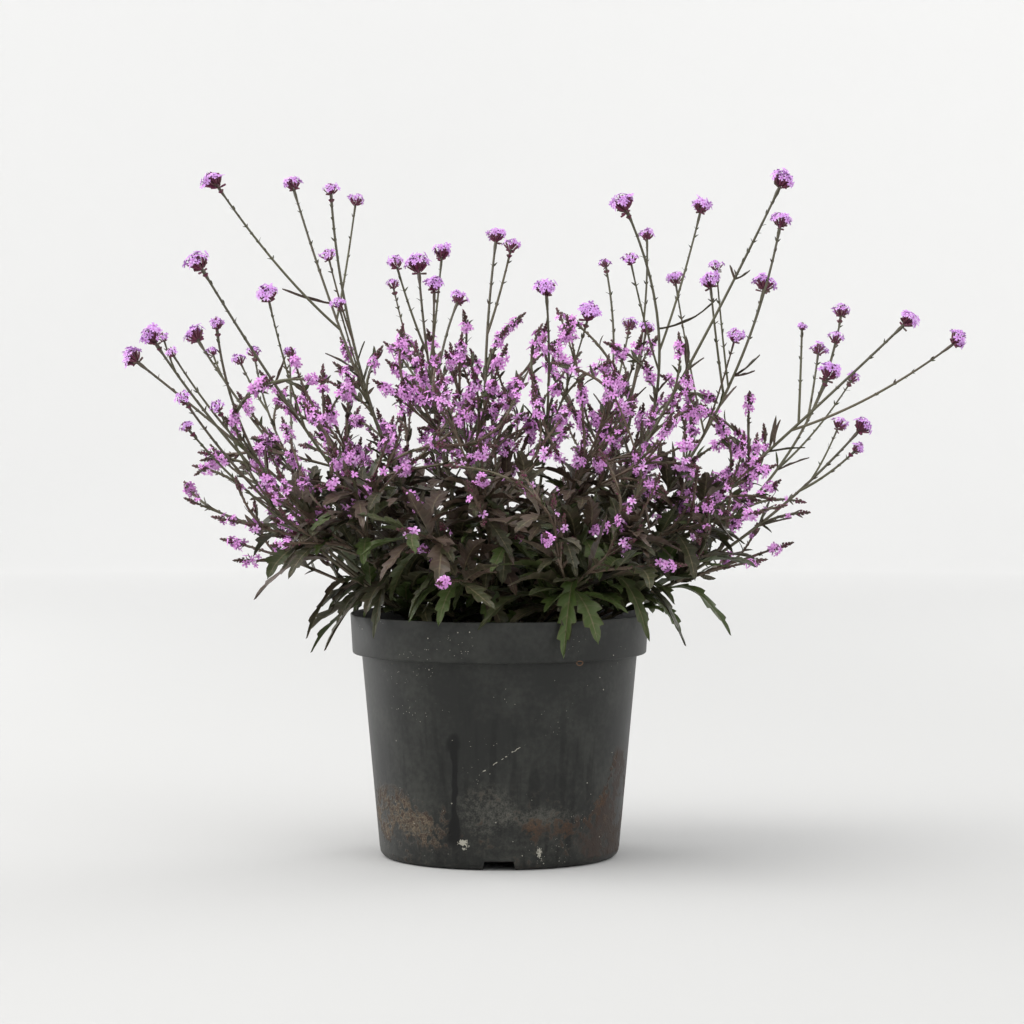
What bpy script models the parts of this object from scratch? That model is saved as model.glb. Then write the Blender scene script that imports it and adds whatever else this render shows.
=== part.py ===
"""A purple-leaved verbena in its nursery pot.

Metres, +Z up, the front towards -Y. The origin is the centre of the pot's foot, on the surface that
it stands on. The plant is a clump of leafy stems that fan out of a small crown. The tall ones carry
round flower heads and the short ones carry slim spikes, whose florets open in a ring below the buds.
"""

import math
import random

import bpy
import numpy as np

MM = 0.001
SEED = 11
TOUCH_GAP = 0.0003

# Pot
POT_HEIGHT = 0.155
RIM_RADIUS = 0.095
COLLAR_LOW_RADIUS = 0.0937
COLLAR_HEIGHT = 0.0255
BODY_TOP_RADIUS = 0.0878
BODY_LOW_RADIUS = 0.0765
FOOT_RADIUS = 0.0712
CORNER_HEIGHT = 0.0055
WALL = 0.0018
EDGE = 0.0012
POT_SIDES = 32
CHANNELS = 4
CHANNEL_WIDTH = 0.021
CHANNEL_TOP_WIDTH = 0.018
CHANNEL_HEIGHT = 0.006
CHANNEL_INNER = 0.044
DRAIN_RADIUS = 0.004
DRAIN_AT = 0.055

# Soil
SOIL_EDGE = 0.1390
SOIL_MIDDLE = 0.1415
SOIL_LUMP = 0.0012

# Stems
STEM_BOTTOM = 0.119
STEM_BEND = 0.1465
FAN_DEPTH = 0.040
FOOT_SPACING = 0.0031
TALL_RADIUS = 0.00125
BUSH_RADIUS = 0.00125
TIP_RADIUS = 0.0007
STALK_RADIUS = 0.00085
STALK_TIP_RADIUS = 0.0006
CLEARANCE = 0.0006

# Bush
BUSH_STEMS = 13
BUSH_SPIKES = 50
BUSH_CENTRE = (0.0, 0.0, 0.150)
BUSH_REACH = (0.205, 0.170, 0.200)
BUSH_LOWEST = math.radians(9)
BUSH_HIGHEST = math.radians(84)

# Heads: those at least this wide are blooms of their own
OWN_BLOOM_WIDTH = 0.0125

# Distance below the tip, then the radius on two opposite edges and on the other two, in millimetres
SPIKE_RINGS = (
    (18.5, 1.1, 1.1),
    (14.0, 1.4, 4.1),
    (10.6, 4.1, 1.4),
    (7.4, 1.9, 1.9),
)
# Height above the middle, then the radius of the florets and of the gaps between, in head radii
BLOOM_RINGS = (
    (-0.36, 0.62, 0.62),
    (-0.06, 1.0, 0.72),
    (0.40, 0.55, 0.86),
)
BLOOM_TOP = 0.72
BLOOM_SIDES = 8
# Distance below the middle of a head, then the radius of the dark calyx cup, in head radii
CALYX_RINGS = ((1.5, 0.12), (0.95, 0.42), (0.36, 0.60))
BLOOM_SUNK = 0.0005

# Leaves: share of the length, then the half width as a least width and a share of the widest
LEAF_THICK = 0.0007
LEAF_OUTLINES = {
    2: ((0.0, 0.0009, 0.0), (0.42, 0.0, 1.0), (0.50, 0.0, 0.55), (0.74, 0.0, 0.74)),
    3: ((0.0, 0.0009, 0.0), (0.32, 0.0, 0.92), (0.39, 0.0, 0.52), (0.58, 0.0, 1.0),
        (0.65, 0.0, 0.5), (0.82, 0.0, 0.62)),
}

# Each tall stem as it stands in the photograph's view, in millimetres. The knee is where it bends
# and branches. Each head is x, y, z and width, and how far up the stem its stalk leaves.
# The first head is the stem's own.
TALL_STEMS = {
    "left_fork": ((-110, 36, 355), (
        (-135, 48, 431, 13, 1), (-184, 20, 432, 15.5, 0.70), (-94, 62, 421, 11, 0.72))),
    "left_inner": ((-98, -14, 354), (
        (-106, -22, 423, 10.5, 1), (-107, -36, 381, 10, 0.70), (-101, -30, 351, 10, 0.42))),
    "left_front": ((-140, -48, 301), ((-186, -64, 376, 16, 1), (-142, -78, 356, 14.5, 0.60))),
    "left_far": ((-180, 20, 272), ((-238, 30, 318, 15, 1),)),
    "left_low": ((-179, -8, 273), ((-221, -12, 331, 16, 1), (-212, -20, 330, 8, 0.90))),
    "left_back": ((-162, 40, 280), ((-200, 66, 333, 15, 1), (-188, 60, 322, 8.5, 0.86))),
    "left_mid": ((-165, -25, 283), ((-176, -34, 338, 10.5, 1), (-203, -44, 320, 8.5, 0.66))),
    "left_rear": ((-144, 60, 264), (
        (-163, 96, 322, 9.5, 1), (-172, 84, 317, 9.5, 0.82), (-140, 108, 322, 8.5, 0.66))),
    "left_short": ((-166, -60, 252), (
        (-194, -82, 292, 10.5, 1), (-172, -92, 287, 9, 0.62), (-193, -70, 274, 9, 0.55))),
    "middle_left": ((-48, 10, 335), (
        (-52, 12, 378, 16.5, 1), (-66, 0, 378, 11.5, 0.78), (-37, 30, 386, 13.5, 0.74),
        (-41, -12, 364, 13.5, 0.70))),
    "middle_rear": ((-40, 66, 310), ((-27, 96, 358, 12, 1), (-71, 84, 367, 10, 0.60))),
    "middle_tall": ((-7, 44, 349), ((-2, 60, 398, 13, 1), (8, 42, 391, 11.5, 0.76))),
    "middle_right": ((31, -44, 309), ((29, -58, 360, 14.5, 1), (56, -66, 345, 15.5, 0.60))),
    "right_rear": ((75, 76, 328), ((70, 100, 381, 8.5, 1), (87, 110, 341, 12, 0.62))),
    "right_fork": ((101, -6, 335), (
        (78, -14, 415, 16, 1), (129, 6, 414, 14, 0.70), (82, -30, 379, 10.5, 0.66))),
    "right_mid": ((89, 36, 312), ((96, 56, 398, 10.5, 1), (95, 30, 337, 10.5, 0.60))),
    "right_tall": ((136, -40, 345), ((176, -54, 427, 16, 1),)),
    "right_many": ((151, 14, 308), (
        (181, 24, 406, 13.5, 1), (172, 40, 366, 15, 0.74), (138, 4, 376, 9.5, 0.66),
        (133, -14, 366, 13.5, 0.64), (113, 30, 369, 11.5, 0.56), (149, -20, 331, 12, 0.55))),
    "right_back": ((206, 56, 287), (
        (226, 84, 349, 12, 1), (221, 66, 331, 10.5, 0.80), (212, 96, 324, 11.5, 0.74),
        (216, 58, 309, 16, 0.66), (234, 84, 305, 9.5, 0.62))),
    "right_far": ((194, -16, 280), (
        (258, -24, 341, 14, 1), (287, -40, 328, 13, 0.68), (192, -6, 337, 6, 0.70))),
    "right_low": ((190, 4, 231), (
        (233, 10, 274, 13, 1), (219, 24, 275, 11, 0.80), (228, -6, 260, 9.5, 0.76))),
}

# The leaves over the front of the rim: the turn in degrees, the distance from the axis and the
# height of the root, the same of the end, and half the width, all in millimetres
FRONT_LEAVES = (
    ((-122, 62, 172), (-137, 103, 140), 5.0),
    ((-110, 60, 174), (-84, 98, 172), 7.8),
    ((-63, 60, 172), (-97, 104, 151), 5.6),
    ((-74, 62, 172), (-71, 105, 137), 7.8),
    ((-36, 74, 172), (-66, 105, 144), 6.4),
    ((-30, 78, 170), (-33, 110, 139), 6.0),
    ((-142, 74, 170), (-158, 118, 134), 6.4),
    ((-158, 96, 168), (-170, 124, 140), 6.0),
    ((-172, 108, 174), (-176, 156, 164), 6.6),
    ((-14, 108, 168), (-9, 148, 142), 5.6),
)
# The rim leaves round the back: the first one's turn and the step to the next, in degrees
BACK_LEAVES = 14
BACK_TURN = -8.0
BACK_STEP = 14.5
# How often a rim leaf is tried, how far it may stray, where its arch stands and how high
RIM_TRIALS = 90
RIM_STRAY = 0.7
RIM_ARCH_AT = 0.5
RIM_ARCH_RISE = (0.010, 0.022)
RIM_LEAF_LONGEST = 0.076

GOLDEN_TURN = math.pi * (3 - math.sqrt(5))
UP = np.array([0.0, 0.0, 1.0])


def unit(vector):
    """The vector at length 1."""
    return vector / np.linalg.norm(vector)


def level_side(course):
    """A level direction square to a course's chord, which its cross-sections are turned to."""
    chord = course[-1] - course[0]
    flat = np.array([chord[1], -chord[0], 0.0])
    return unit(flat) if np.linalg.norm(flat) > 1e-6 else np.array([1.0, 0.0, 0.0])


def arc_lengths(course):
    """The distance along a course to each of its points."""
    return np.concatenate([[0.0], np.cumsum(np.linalg.norm(np.diff(course, axis=0), axis=1))])


def at_distances(course, distances):
    """The points of a course at distances from its start."""
    run = arc_lengths(course)
    return np.stack([np.interp(distances, run, course[:, axis]) for axis in range(3)], axis=1)


def bend(start, middle, end, count=17):
    """A quadratic curve from start to end, pulled towards middle."""
    t = np.linspace(0, 1, count)[:, None]
    return (1 - t) ** 2 * start + 2 * t * (1 - t) * middle + t**2 * end


def through(start, knee, end, count=25):
    """A parabola through three points, each reached in proportion to the distance run."""
    first = np.linalg.norm(knee - start)
    share = first / (first + np.linalg.norm(end - knee))
    t = np.linspace(0, 1, count)[:, None]
    return (
        start * (t - share) * (t - 1) / share
        + knee * t * (t - 1) / (share * (share - 1))
        + end * t * (t - share) / (1 - share)
    )


class Room:
    """The space already taken, as round-ended rods with the name of what they belong to."""

    def __init__(self):
        self.rods = np.zeros((0, 7))
        self.owners = np.zeros(0, int)
        self.names = []

    def number_of(self, owner):
        if owner not in self.names:
            self.names.append(owner)
        return self.names.index(owner)

    def add(self, owner, rods):
        self.rods = np.concatenate([self.rods, rods])
        self.owners = np.append(self.owners, np.full(len(rods), self.number_of(owner)))

    def is_clear(self, owner, rods, gap=CLEARANCE):
        """True if no rod of another owner comes closer than gap."""
        margin = rods[:, 6].max() + gap
        low = np.minimum(rods[:, :3], rods[:, 3:6]).min(0) - margin
        high = np.maximum(rods[:, :3], rods[:, 3:6]).max(0) + margin
        reach = self.rods[:, 6:]
        near = (np.minimum(self.rods[:, :3], self.rods[:, 3:6]) - reach < high).all(1)
        near &= (np.maximum(self.rods[:, :3], self.rods[:, 3:6]) + reach > low).all(1)
        others = self.rods[near & (self.owners != self.number_of(owner))]
        if not len(others):
            return True
        new, old = rods[:, None], others[None]
        apart = rod_distances(new[..., :3], new[..., 3:6], old[..., :3], old[..., 3:6])
        return bool((apart - new[..., 6] - old[..., 6] > gap).all())


def rod_distances(start, end, other_start, other_end):
    """The least distance between the middle lines of rods, for whole arrays of them."""
    along, other, between = end - start, other_end - other_start, start - other_start
    a = (along * along).sum(-1) + 1e-18
    e = (other * other).sum(-1) + 1e-18
    b, c, f = (along * other).sum(-1), (along * between).sum(-1), (other * between).sum(-1)
    s = np.clip((b * f - c * e) / np.maximum(a * e - b * b, 1e-18), 0, 1)
    t = np.clip((b * s + f) / e, 0, 1)
    s = np.clip((b * t - c) / a, 0, 1)
    nearest = between + along * s[..., None] - other * t[..., None]
    return np.sqrt((nearest * nearest).sum(-1))


def rods_along(points, radii):
    """A rod between each two points, as thick as the thicker end."""
    return np.concatenate([points[:-1], points[1:], np.maximum(radii[:-1], radii[1:])[:, None]], 1)


def clears_pot(rods):
    """True if the rods stay above the soil, above the rim or outside the collar."""
    steps = np.linspace(0, 1, 7)[None, :, None]
    points = rods[:, None, :3] * (1 - steps) + rods[:, None, 3:6] * steps
    radius = rods[:, None, 6]
    out = np.hypot(points[..., 0], points[..., 1])
    low = points[..., 2] - radius
    inside = (out + radius < RIM_RADIUS - 2 * WALL - EDGE) & (low > SOIL_MIDDLE + 2 * SOIL_LUMP)
    above = low > POT_HEIGHT + CLEARANCE
    outside = (out - radius > RIM_RADIUS + CLEARANCE) & (low > 0.1)
    return bool((inside | above | outside).all())


class Shoot:
    """A stem or stalk: its course, its radii at both ends and what it carries at its tip."""

    def __init__(self, course, root_radius, tip_radius, tip, width=0.0):
        self.course, self.tip, self.width = course, tip, width
        self.root_radius, self.tip_radius = root_radius, tip_radius
        self.own_bloom = width >= OWN_BLOOM_WIDTH

    @property
    def length(self):
        return arc_lengths(self.course)[-1]

    @property
    def axis(self):
        return unit(self.course[-1] - self.course[-3])

    def radius_at(self, distances):
        return np.interp(distances, [0, self.length], [self.root_radius, self.tip_radius])

    def tip_rods(self):
        """The rods round the head or the florets at the tip, a head's dome first."""
        end = self.course[-1]
        if self.tip == "head":
            radius = self.width / 2
            low, high = end - self.axis * 0.05 * radius, end + self.axis * 0.05 * radius
            cup = end - self.axis * radius
            return np.array([[*low, *high, radius * 1.02], [*cup, *low, radius * 0.62]])
        rings = np.array(SPIKE_RINGS) * MM
        points = at_distances(self.course, self.length - np.append(rings[:, 0], 0.0))
        return rods_along(points, np.append(rings[:, 1:].max(1), 0.0))

    def stalk_rods(self, count=9):
        run = np.linspace(0, self.length, count)
        return rods_along(at_distances(self.course, run), self.radius_at(run))

    def rods(self):
        return np.concatenate([self.stalk_rods(), self.tip_rods()])


class Leaf:
    """A toothed blade along a curved course, with the level direction across it."""

    def __init__(self, start, middle, end, half_width, teeth):
        self.course = bend(start, middle, end, 9)
        self.half_width, self.teeth = half_width, teeth
        self.across = level_side(self.course)

    def rods(self):
        """Three lines of rods that fill the blade's width."""
        shape = np.array([0.25, 0.5, 0.9, 1.0, 1.0, 1.0, 0.8, 0.5, 0.15]) * self.half_width
        lines = []
        for share in (-0.66, 0.0, 0.66):
            points = self.course + self.across * (shape * share)[:, None]
            lines.append(rods_along(points, shape * 0.36 + 0.0005))
        return np.concatenate(lines)


class Spray:
    """One leafy stem with its stalks, leaves and heads. Its first shoot is the stem."""

    def __init__(self, name):
        self.name = name
        self.shoots, self.leaves = [], []


def foot_of(knee):
    """Where a stem leaves the soil, on the line from its knee to a point below the crown."""
    share = FAN_DEPTH / (knee[2] - SOIL_MIDDLE + FAN_DEPTH)
    return np.array([knee[0] * share, knee[1] * share, STEM_BEND])


def whole_stem(foot, course):
    """The course with the upright stretch that stands in the soil put before it."""
    bottom = np.array([foot[0], foot[1], STEM_BOTTOM])
    return np.concatenate([[bottom], course])


def foot_rods(foot):
    bottom = np.array([foot[0], foot[1], STEM_BOTTOM])
    return np.array([[*bottom, *foot, FOOT_SPACING]])


def bloom_name(spray, number):
    """The name of the bloom on a spray's shoot of this number, counted from 1."""
    return spray.name.replace("spray", "bloom") + f"_{number}"


def fits(room, spray, shoot, more=()):
    """True if a shoot, with more rods, is clear. A bloom of its own is also clear of its own spray."""
    rods = np.concatenate([shoot.rods(), *more])
    return room.is_clear(spray.name, rods) and (
        not shoot.own_bloom or room.is_clear("new bloom", shoot.tip_rods()[:1])
    )


def take_room(room, spray, shoot):
    """Adds a shoot to its spray and notes its space, a bloom of its own under its own name."""
    spray.shoots.append(shoot)
    if shoot.own_bloom:
        room.add(spray.name, np.concatenate([shoot.stalk_rods(), shoot.tip_rods()[1:]]))
        room.add(bloom_name(spray, len(spray.shoots)), shoot.tip_rods()[:1])
    else:
        room.add(spray.name, shoot.rods())


def grow_tall(name, knee, heads, room):
    """A tall spray. It moves in depth and at its foot until it is clear of the others."""
    spray = Spray(name)
    knee = np.array(knee) * MM
    main = np.array(heads[0][:3]) * MM
    width = heads[0][3] * MM
    for trial in range(90):
        depth = 0.004 * ((trial + 1) // 2 % 9) * (-1) ** trial
        turn = trial * GOLDEN_TURN
        shift = np.array([0.0, depth, 0.0])
        foot = foot_of(knee) + 0.0011 * math.sqrt(trial) * np.array([math.cos(turn), math.sin(turn), 0])
        course = whole_stem(foot, through(foot, knee + 0.7 * shift, main + shift))
        shoot = Shoot(course, TALL_RADIUS, TIP_RADIUS, "head", width)
        if fits(room, spray, shoot, [foot_rods(foot)]):
            break
    room.add(name, foot_rods(foot))
    take_room(room, spray, shoot)
    for x, y, z, head_width, share in heads[1:]:
        end = np.array([x, y, z]) * MM + shift
        start = at_distances(course, [share * shoot.length])[0]
        for trial in range(60):
            depth = 0.003 * ((trial + 1) // 2) * (-1) ** trial
            tip = end + np.array([0.0, depth, 0.0])
            reach = np.linalg.norm(tip - start)
            middle = (start + tip) / 2 - UP * 0.10 * reach
            stalk = Shoot(bend(start, middle, tip), STALK_RADIUS, STALK_TIP_RADIUS, "head", head_width * MM)
            if fits(room, spray, stalk):
                take_room(room, spray, stalk)
                break
    return spray


def fan_directions(count, lowest, highest, turn):
    """Directions spread evenly over the sky between two heights."""
    heights = np.linspace(math.sin(lowest), math.sin(highest), count * 2 + 1)[1::2]
    turns = turn + GOLDEN_TURN * np.arange(count)
    flat = np.sqrt(1 - heights**2)
    return np.stack([flat * np.cos(turns), flat * np.sin(turns), heights], axis=1)


def grow_bush(room, rng):
    """The short sprays: a stem for each main direction, and spikes shared out to the nearest stem."""
    centre, reach = np.array(BUSH_CENTRE), np.array(BUSH_REACH)
    mains = fan_directions(BUSH_STEMS, BUSH_LOWEST, BUSH_HIGHEST, 0.4)
    spikes = fan_directions(BUSH_SPIKES, BUSH_LOWEST, BUSH_HIGHEST, 2.1)
    sprays = []
    for number, direction in enumerate(mains, 1):
        spray = Spray(f"spray_bush_{number:02d}")
        for trial in range(120):
            wander = 0.015 * math.sqrt(trial) * np.array([rng.uniform(-1, 1) for _ in range(3)])
            heading = unit(direction + wander)
            tip = centre + heading * reach * rng.uniform(0.9, 1.0)
            foot = foot_of(centre + heading * reach * 0.5)
            foot[:2] += 0.0012 * math.sqrt(trial) * np.array([rng.uniform(-1, 1), rng.uniform(-1, 1)])
            middle = (foot + tip) / 2 + UP * 0.012
            course = whole_stem(foot, bend(foot, middle, tip, 21))
            shoot = Shoot(course, BUSH_RADIUS, TIP_RADIUS, "spike")
            if fits(room, spray, shoot, [foot_rods(foot)]) and clears_pot(shoot.rods()[2:]):
                room.add(spray.name, foot_rods(foot))
                take_room(room, spray, shoot)
                spray.heading = heading
                sprays.append(spray)
                break
    headings = np.array([spray.heading for spray in sprays])
    for direction in spikes:
        for trial in range(40):
            wander = 0.03 * math.sqrt(trial) * np.array([rng.uniform(-1, 1) for _ in range(3)])
            heading = unit(direction + wander)
            spray = sprays[int(np.argmax(headings @ heading))]
            stem = spray.shoots[0]
            tip = centre + heading * reach * rng.uniform(0.78, 1.0)
            aside = np.linalg.norm(tip - stem.course[-1])
            share = np.clip(1 - 1.25 * aside / stem.length, 0.32, 0.88) - rng.uniform(0, 0.06)
            start = at_distances(stem.course, [share * stem.length])[0]
            ahead = at_distances(stem.course, [(share + 0.04) * stem.length])[0]
            length = np.linalg.norm(tip - start)
            if length < 0.034:
                continue
            middle = start + (tip - start) * 0.42 + unit(ahead - start) * length * 0.08
            stalk = Shoot(bend(start, middle, tip), STALK_RADIUS, STALK_TIP_RADIUS, "spike")
            if fits(room, spray, stalk) and clears_pot(stalk.rods()):
                take_room(room, spray, stalk)
                break
    return sprays


def grow_leaves(spray, room, rng, shares, longest, teeth):
    """Opposite pairs of leaves at shares of the main stem, each pair square to the last."""
    stem = spray.shoots[0]
    for number, share in enumerate(shares):
        spot, ahead = at_distances(stem.course, np.array([share, share + 0.03]) * stem.length)
        along = unit(ahead - spot)
        level = level_side(stem.course)
        other = unit(np.cross(along, level))
        for side in (1, -1):
            for trial in range(14):
                turn = number * math.pi / 2 + rng.uniform(-0.2, 0.2) * (1 + trial)
                outward = side * (level * math.cos(turn) + other * math.sin(turn))
                length = longest * (1 - 0.55 * share) * rng.uniform(0.8, 1.05)
                middle = spot + length * (0.42 * outward + 0.26 * along)
                end = spot + length * (0.82 * outward + 0.24 * along) - UP * length * 0.18
                leaf = Leaf(spot, middle, end, length * rng.uniform(0.11, 0.15), teeth)
                if room.is_clear(spray.name, leaf.rods()) and clears_pot(leaf.rods()):
                    room.add(spray.name, leaf.rods())
                    spray.leaves.append(leaf)
                    break


def around_pot(turn, reach, height):
    """A point at a turn in degrees round the pot, its reach and height in millimetres."""
    angle = math.radians(turn)
    return np.array([reach * math.cos(angle), reach * math.sin(angle), height]) * MM


def back_leaf_plan(turn, rng):
    """A drawn plan for a rim leaf near a turn, in the units of FRONT_LEAVES."""
    turn += rng.uniform(-0.5, 0.5) * BACK_STEP
    reach = rng.uniform(52, 84)
    rise = rng.uniform(166, 180)
    end_turn = turn + rng.uniform(-26, 26)
    end_reach = max(reach + rng.uniform(26, 44), 103)
    return (turn, reach, rise), (end_turn, end_reach, rng.uniform(136, 158)), rng.uniform(5.2, 7.8)


def grow_rim_leaf(spots, room, rng, make_plan):
    """One rim leaf, from the stem that passes nearest to its root or from one near it."""
    for trial in range(RIM_TRIALS):
        (turn, reach, rise), (end_turn, end_reach, end_rise), half_width = make_plan()
        stray = RIM_STRAY * math.sqrt(trial)
        root_wish = around_pot(turn, reach, rise)
        nearest = sorted(spots, key=lambda pair: np.linalg.norm(pair[1] - root_wish))
        spray, root = nearest[int(rng.uniform(0, 2 + trial))]
        end = around_pot(end_turn + stray * rng.uniform(-1, 1), end_reach, end_rise)
        end = end + UP * stray * MM * rng.uniform(-1, 1)
        arch = root + (end - root) * RIM_ARCH_AT
        arch[2] = max(root[2], end[2], POT_HEIGHT) + rng.uniform(*RIM_ARCH_RISE)
        leaf = Leaf(root, arch, end, half_width * MM, 3)
        if arc_lengths(leaf.course)[-1] > RIM_LEAF_LONGEST:
            continue
        if room.is_clear(spray.name, leaf.rods()) and clears_pot(leaf.rods()):
            room.add(spray.name, leaf.rods())
            spray.leaves.append(leaf)
            break


def grow_rim_leaves(sprays, room, rng):
    """Leaves that droop over the rim: those of the front view, then others round the back."""
    spots = [
        (spray, spot)
        for spray in sprays
        for spot in at_distances(spray.shoots[0].course, np.arange(0.034, 0.15, 0.004))
    ]
    for plan in FRONT_LEAVES:
        grow_rim_leaf(spots, room, rng, lambda: plan)
    for number in range(BACK_LEAVES):
        turn = BACK_TURN + BACK_STEP * number
        grow_rim_leaf(spots, room, rng, lambda: back_leaf_plan(turn, rng))


def grow_plant():
    """All sprays, tall ones first, then the bush, then the leaves."""
    rng = random.Random(SEED)
    room = Room()
    tall = [
        grow_tall(f"spray_{name}", knee, heads, room) for name, (knee, heads) in TALL_STEMS.items()
    ]
    bush = grow_bush(room, rng)
    grow_rim_leaves(tall + bush, room, rng)
    for spray in bush:
        grow_leaves(spray, room, rng, (0.22, 0.34), 0.060, 2)
    for spray in tall:
        grow_leaves(spray, room, rng, (0.28,), 0.050, 2)
    return tall + bush


def turned(radius, heights, angle=0.0):
    """Points round the Z axis at each radius and height, for a lathed skin."""
    turns = angle + 2 * math.pi * np.arange(POT_SIDES) / POT_SIDES
    return [
        (ring * math.cos(turn), ring * math.sin(turn), height)
        for ring, height in zip(radius, heights)
        for turn in turns
    ]


def ring_faces(count, sides):
    """Faces between rings of points, with both ends closed."""
    faces = [tuple(reversed(range(sides)))]
    for ring in range(count - 1):
        for edge in range(sides):
            a, b = ring * sides + edge, ring * sides + (edge + 1) % sides
            faces.append((a, b, b + sides, a + sides))
    faces.append(tuple((count - 1) * sides + edge for edge in range(sides)))
    return faces


def lathe(profile):
    """A closed solid turned about the Z axis from radius and height pairs, lowest first."""
    radius, heights = zip(*profile)
    return turned(radius, heights), ring_faces(len(profile), POT_SIDES)


def loft(points, rings, side, close_tip=False):
    """A closed skin over rings, whose radii go round the point of a course that each belongs to.

    With close_tip the course has one more point than there are rings, and the skin ends there.
    """
    points = np.asarray(points)
    along = np.gradient(points, axis=0)
    along /= np.linalg.norm(along, axis=1)[:, None]
    across = np.cross(along, side)
    across /= np.linalg.norm(across, axis=1)[:, None]
    level = np.cross(across, along)
    rings = np.asarray(rings)
    count, sides = rings.shape
    angle = (2 * math.pi * np.arange(sides) / sides)[:, None]
    spokes = level[:count, None] * np.cos(angle) + across[:count, None] * np.sin(angle)
    verts = (points[:count, None] + spokes * rings[..., None]).reshape(-1, 3)
    faces = ring_faces(count, sides)
    if close_tip:
        verts = np.concatenate([verts, points[-1:]])
        last, tip = (count - 1) * sides, count * sides
        faces[-1:] = [(last + edge, last + (edge + 1) % sides, tip) for edge in range(sides)]
    return verts, faces


def stem_shape(shoot, count, whole=False):
    """A shoot's square stalk, ending in a calyx cup under a head or in a spike of buds.

    A whole stem also has the upright stretch that stands in the soil.
    """
    if shoot.tip == "head":
        size = shoot.width / 2
        ends = [(below * size, radius * size, radius * size) for below, radius in CALYX_RINGS]
    else:
        ends = [tuple(value * MM for value in ring) for ring in SPIKE_RINGS]
    first = STEM_BEND - STEM_BOTTOM if whole else 0.0
    stretch = np.linspace(first, shoot.length - ends[0][0], count + 1)[:-1]
    if whole:
        stretch = np.append(0.0, stretch)
    lengths = [*stretch, *(shoot.length - below for below, _, _ in ends)]
    radii = [[radius] * 4 for radius in shoot.radius_at(stretch)]
    radii += [[one, other] * 2 for _, one, other in ends]
    has_tip = shoot.tip == "spike"
    points = at_distances(shoot.course, np.array(lengths + [shoot.length] * has_tip))
    return loft(points, radii, level_side(shoot.course), has_tip)


def bloom_shape(shoot, raised):
    """A dome of florets: rings whose corners stand out by turns, closed by the top floret."""
    size, middle = shoot.width / 2, shoot.course[-1]
    heights = [height for height, _, _ in BLOOM_RINGS] + [BLOOM_TOP]
    points = [middle + shoot.axis * (height * size + raised) for height in heights]
    rings = [[floret * size, gap * size] * (BLOOM_SIDES // 2) for _, floret, gap in BLOOM_RINGS]
    return loft(points, rings, level_side(shoot.course), close_tip=True)


def leaf_shape(leaf):
    """A blade of even thickness. Its edges run out to each tooth and back to the notch after it."""
    outline = LEAF_OUTLINES[leaf.teeth]
    run = arc_lengths(leaf.course)[-1]
    middle = at_distances(leaf.course, np.array([share for share, _, _ in outline] + [1.0]) * run)
    half = np.array([least + share * leaf.half_width for _, least, share in outline])[:, None]
    face = np.cross(leaf.across, np.gradient(middle, axis=0))
    face *= LEAF_THICK / 2 / np.linalg.norm(face, axis=1)[:, None]
    sheet = np.concatenate([middle[:-1] + leaf.across * half, middle[:-1] - leaf.across * half, middle[-1:]])
    offset = np.concatenate([face[:-1], face[:-1], face[-1:]])
    pairs, sheet_size = len(outline), len(sheet)
    tip = 2 * pairs
    upper = [(pairs - 1, tip, tip - 1)]
    for pair in range(pairs - 1):
        upper += [(pair, pair + 1, pairs + pair + 1), (pair, pairs + pair + 1, pairs + pair)]
    lower = [tuple(sheet_size + vert for vert in reversed(face)) for face in upper]
    edge = [*range(pairs, tip), tip, *reversed(range(pairs))]
    walls = []
    for one, other in zip(edge, edge[1:] + edge[:1]):
        walls.append((one, other, sheet_size + other, sheet_size + one))
    return np.concatenate([sheet + offset, sheet - offset]), upper + lower + walls


def stem_hole(stem):
    """The plain hole in the soil that a stem stands in."""
    x, y, _ = stem.course[0]
    corner = stem.root_radius + TOUCH_GAP * math.sqrt(2)
    points = [(x, y, STEM_BOTTOM - TOUCH_GAP), (x, y, STEM_BEND)]
    return loft(points, [[corner] * 4] * 2, level_side(stem.course))


def channel_shape(turn, grow):
    """A drain channel under the pot, from near its middle out through the wall, grown by a wall."""
    half, top = CHANNEL_WIDTH / 2 + grow, CHANNEL_TOP_WIDTH / 2 + grow
    section = [(half, -WALL), (top, CHANNEL_HEIGHT + grow), (-top, CHANNEL_HEIGHT + grow), (-half, -WALL)]
    out = (math.cos(turn), math.sin(turn))
    verts = [
        (out[0] * run - out[1] * aside, out[1] * run + out[0] * aside, height)
        for run in (CHANNEL_INNER - grow, RIM_RADIUS)
        for aside, height in section
    ]
    return verts, ring_faces(2, 4)


def pot_outside():
    """The pot's outer form: foot, rounded corner, tapered body and the collar round its rim."""
    corner = [
        (FOOT_RADIUS + (BODY_LOW_RADIUS - FOOT_RADIUS) * math.sin(turn), CORNER_HEIGHT * (1 - math.cos(turn)))
        for turn in (0, math.pi / 4, math.pi / 2)
    ]
    low = POT_HEIGHT - COLLAR_HEIGHT
    collar = [
        (BODY_TOP_RADIUS, low), (COLLAR_LOW_RADIUS - EDGE, low), (COLLAR_LOW_RADIUS, low + EDGE),
        (RIM_RADIUS, POT_HEIGHT - EDGE), (RIM_RADIUS - EDGE / 2, POT_HEIGHT),
    ]
    return lathe(corner + collar)


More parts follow.
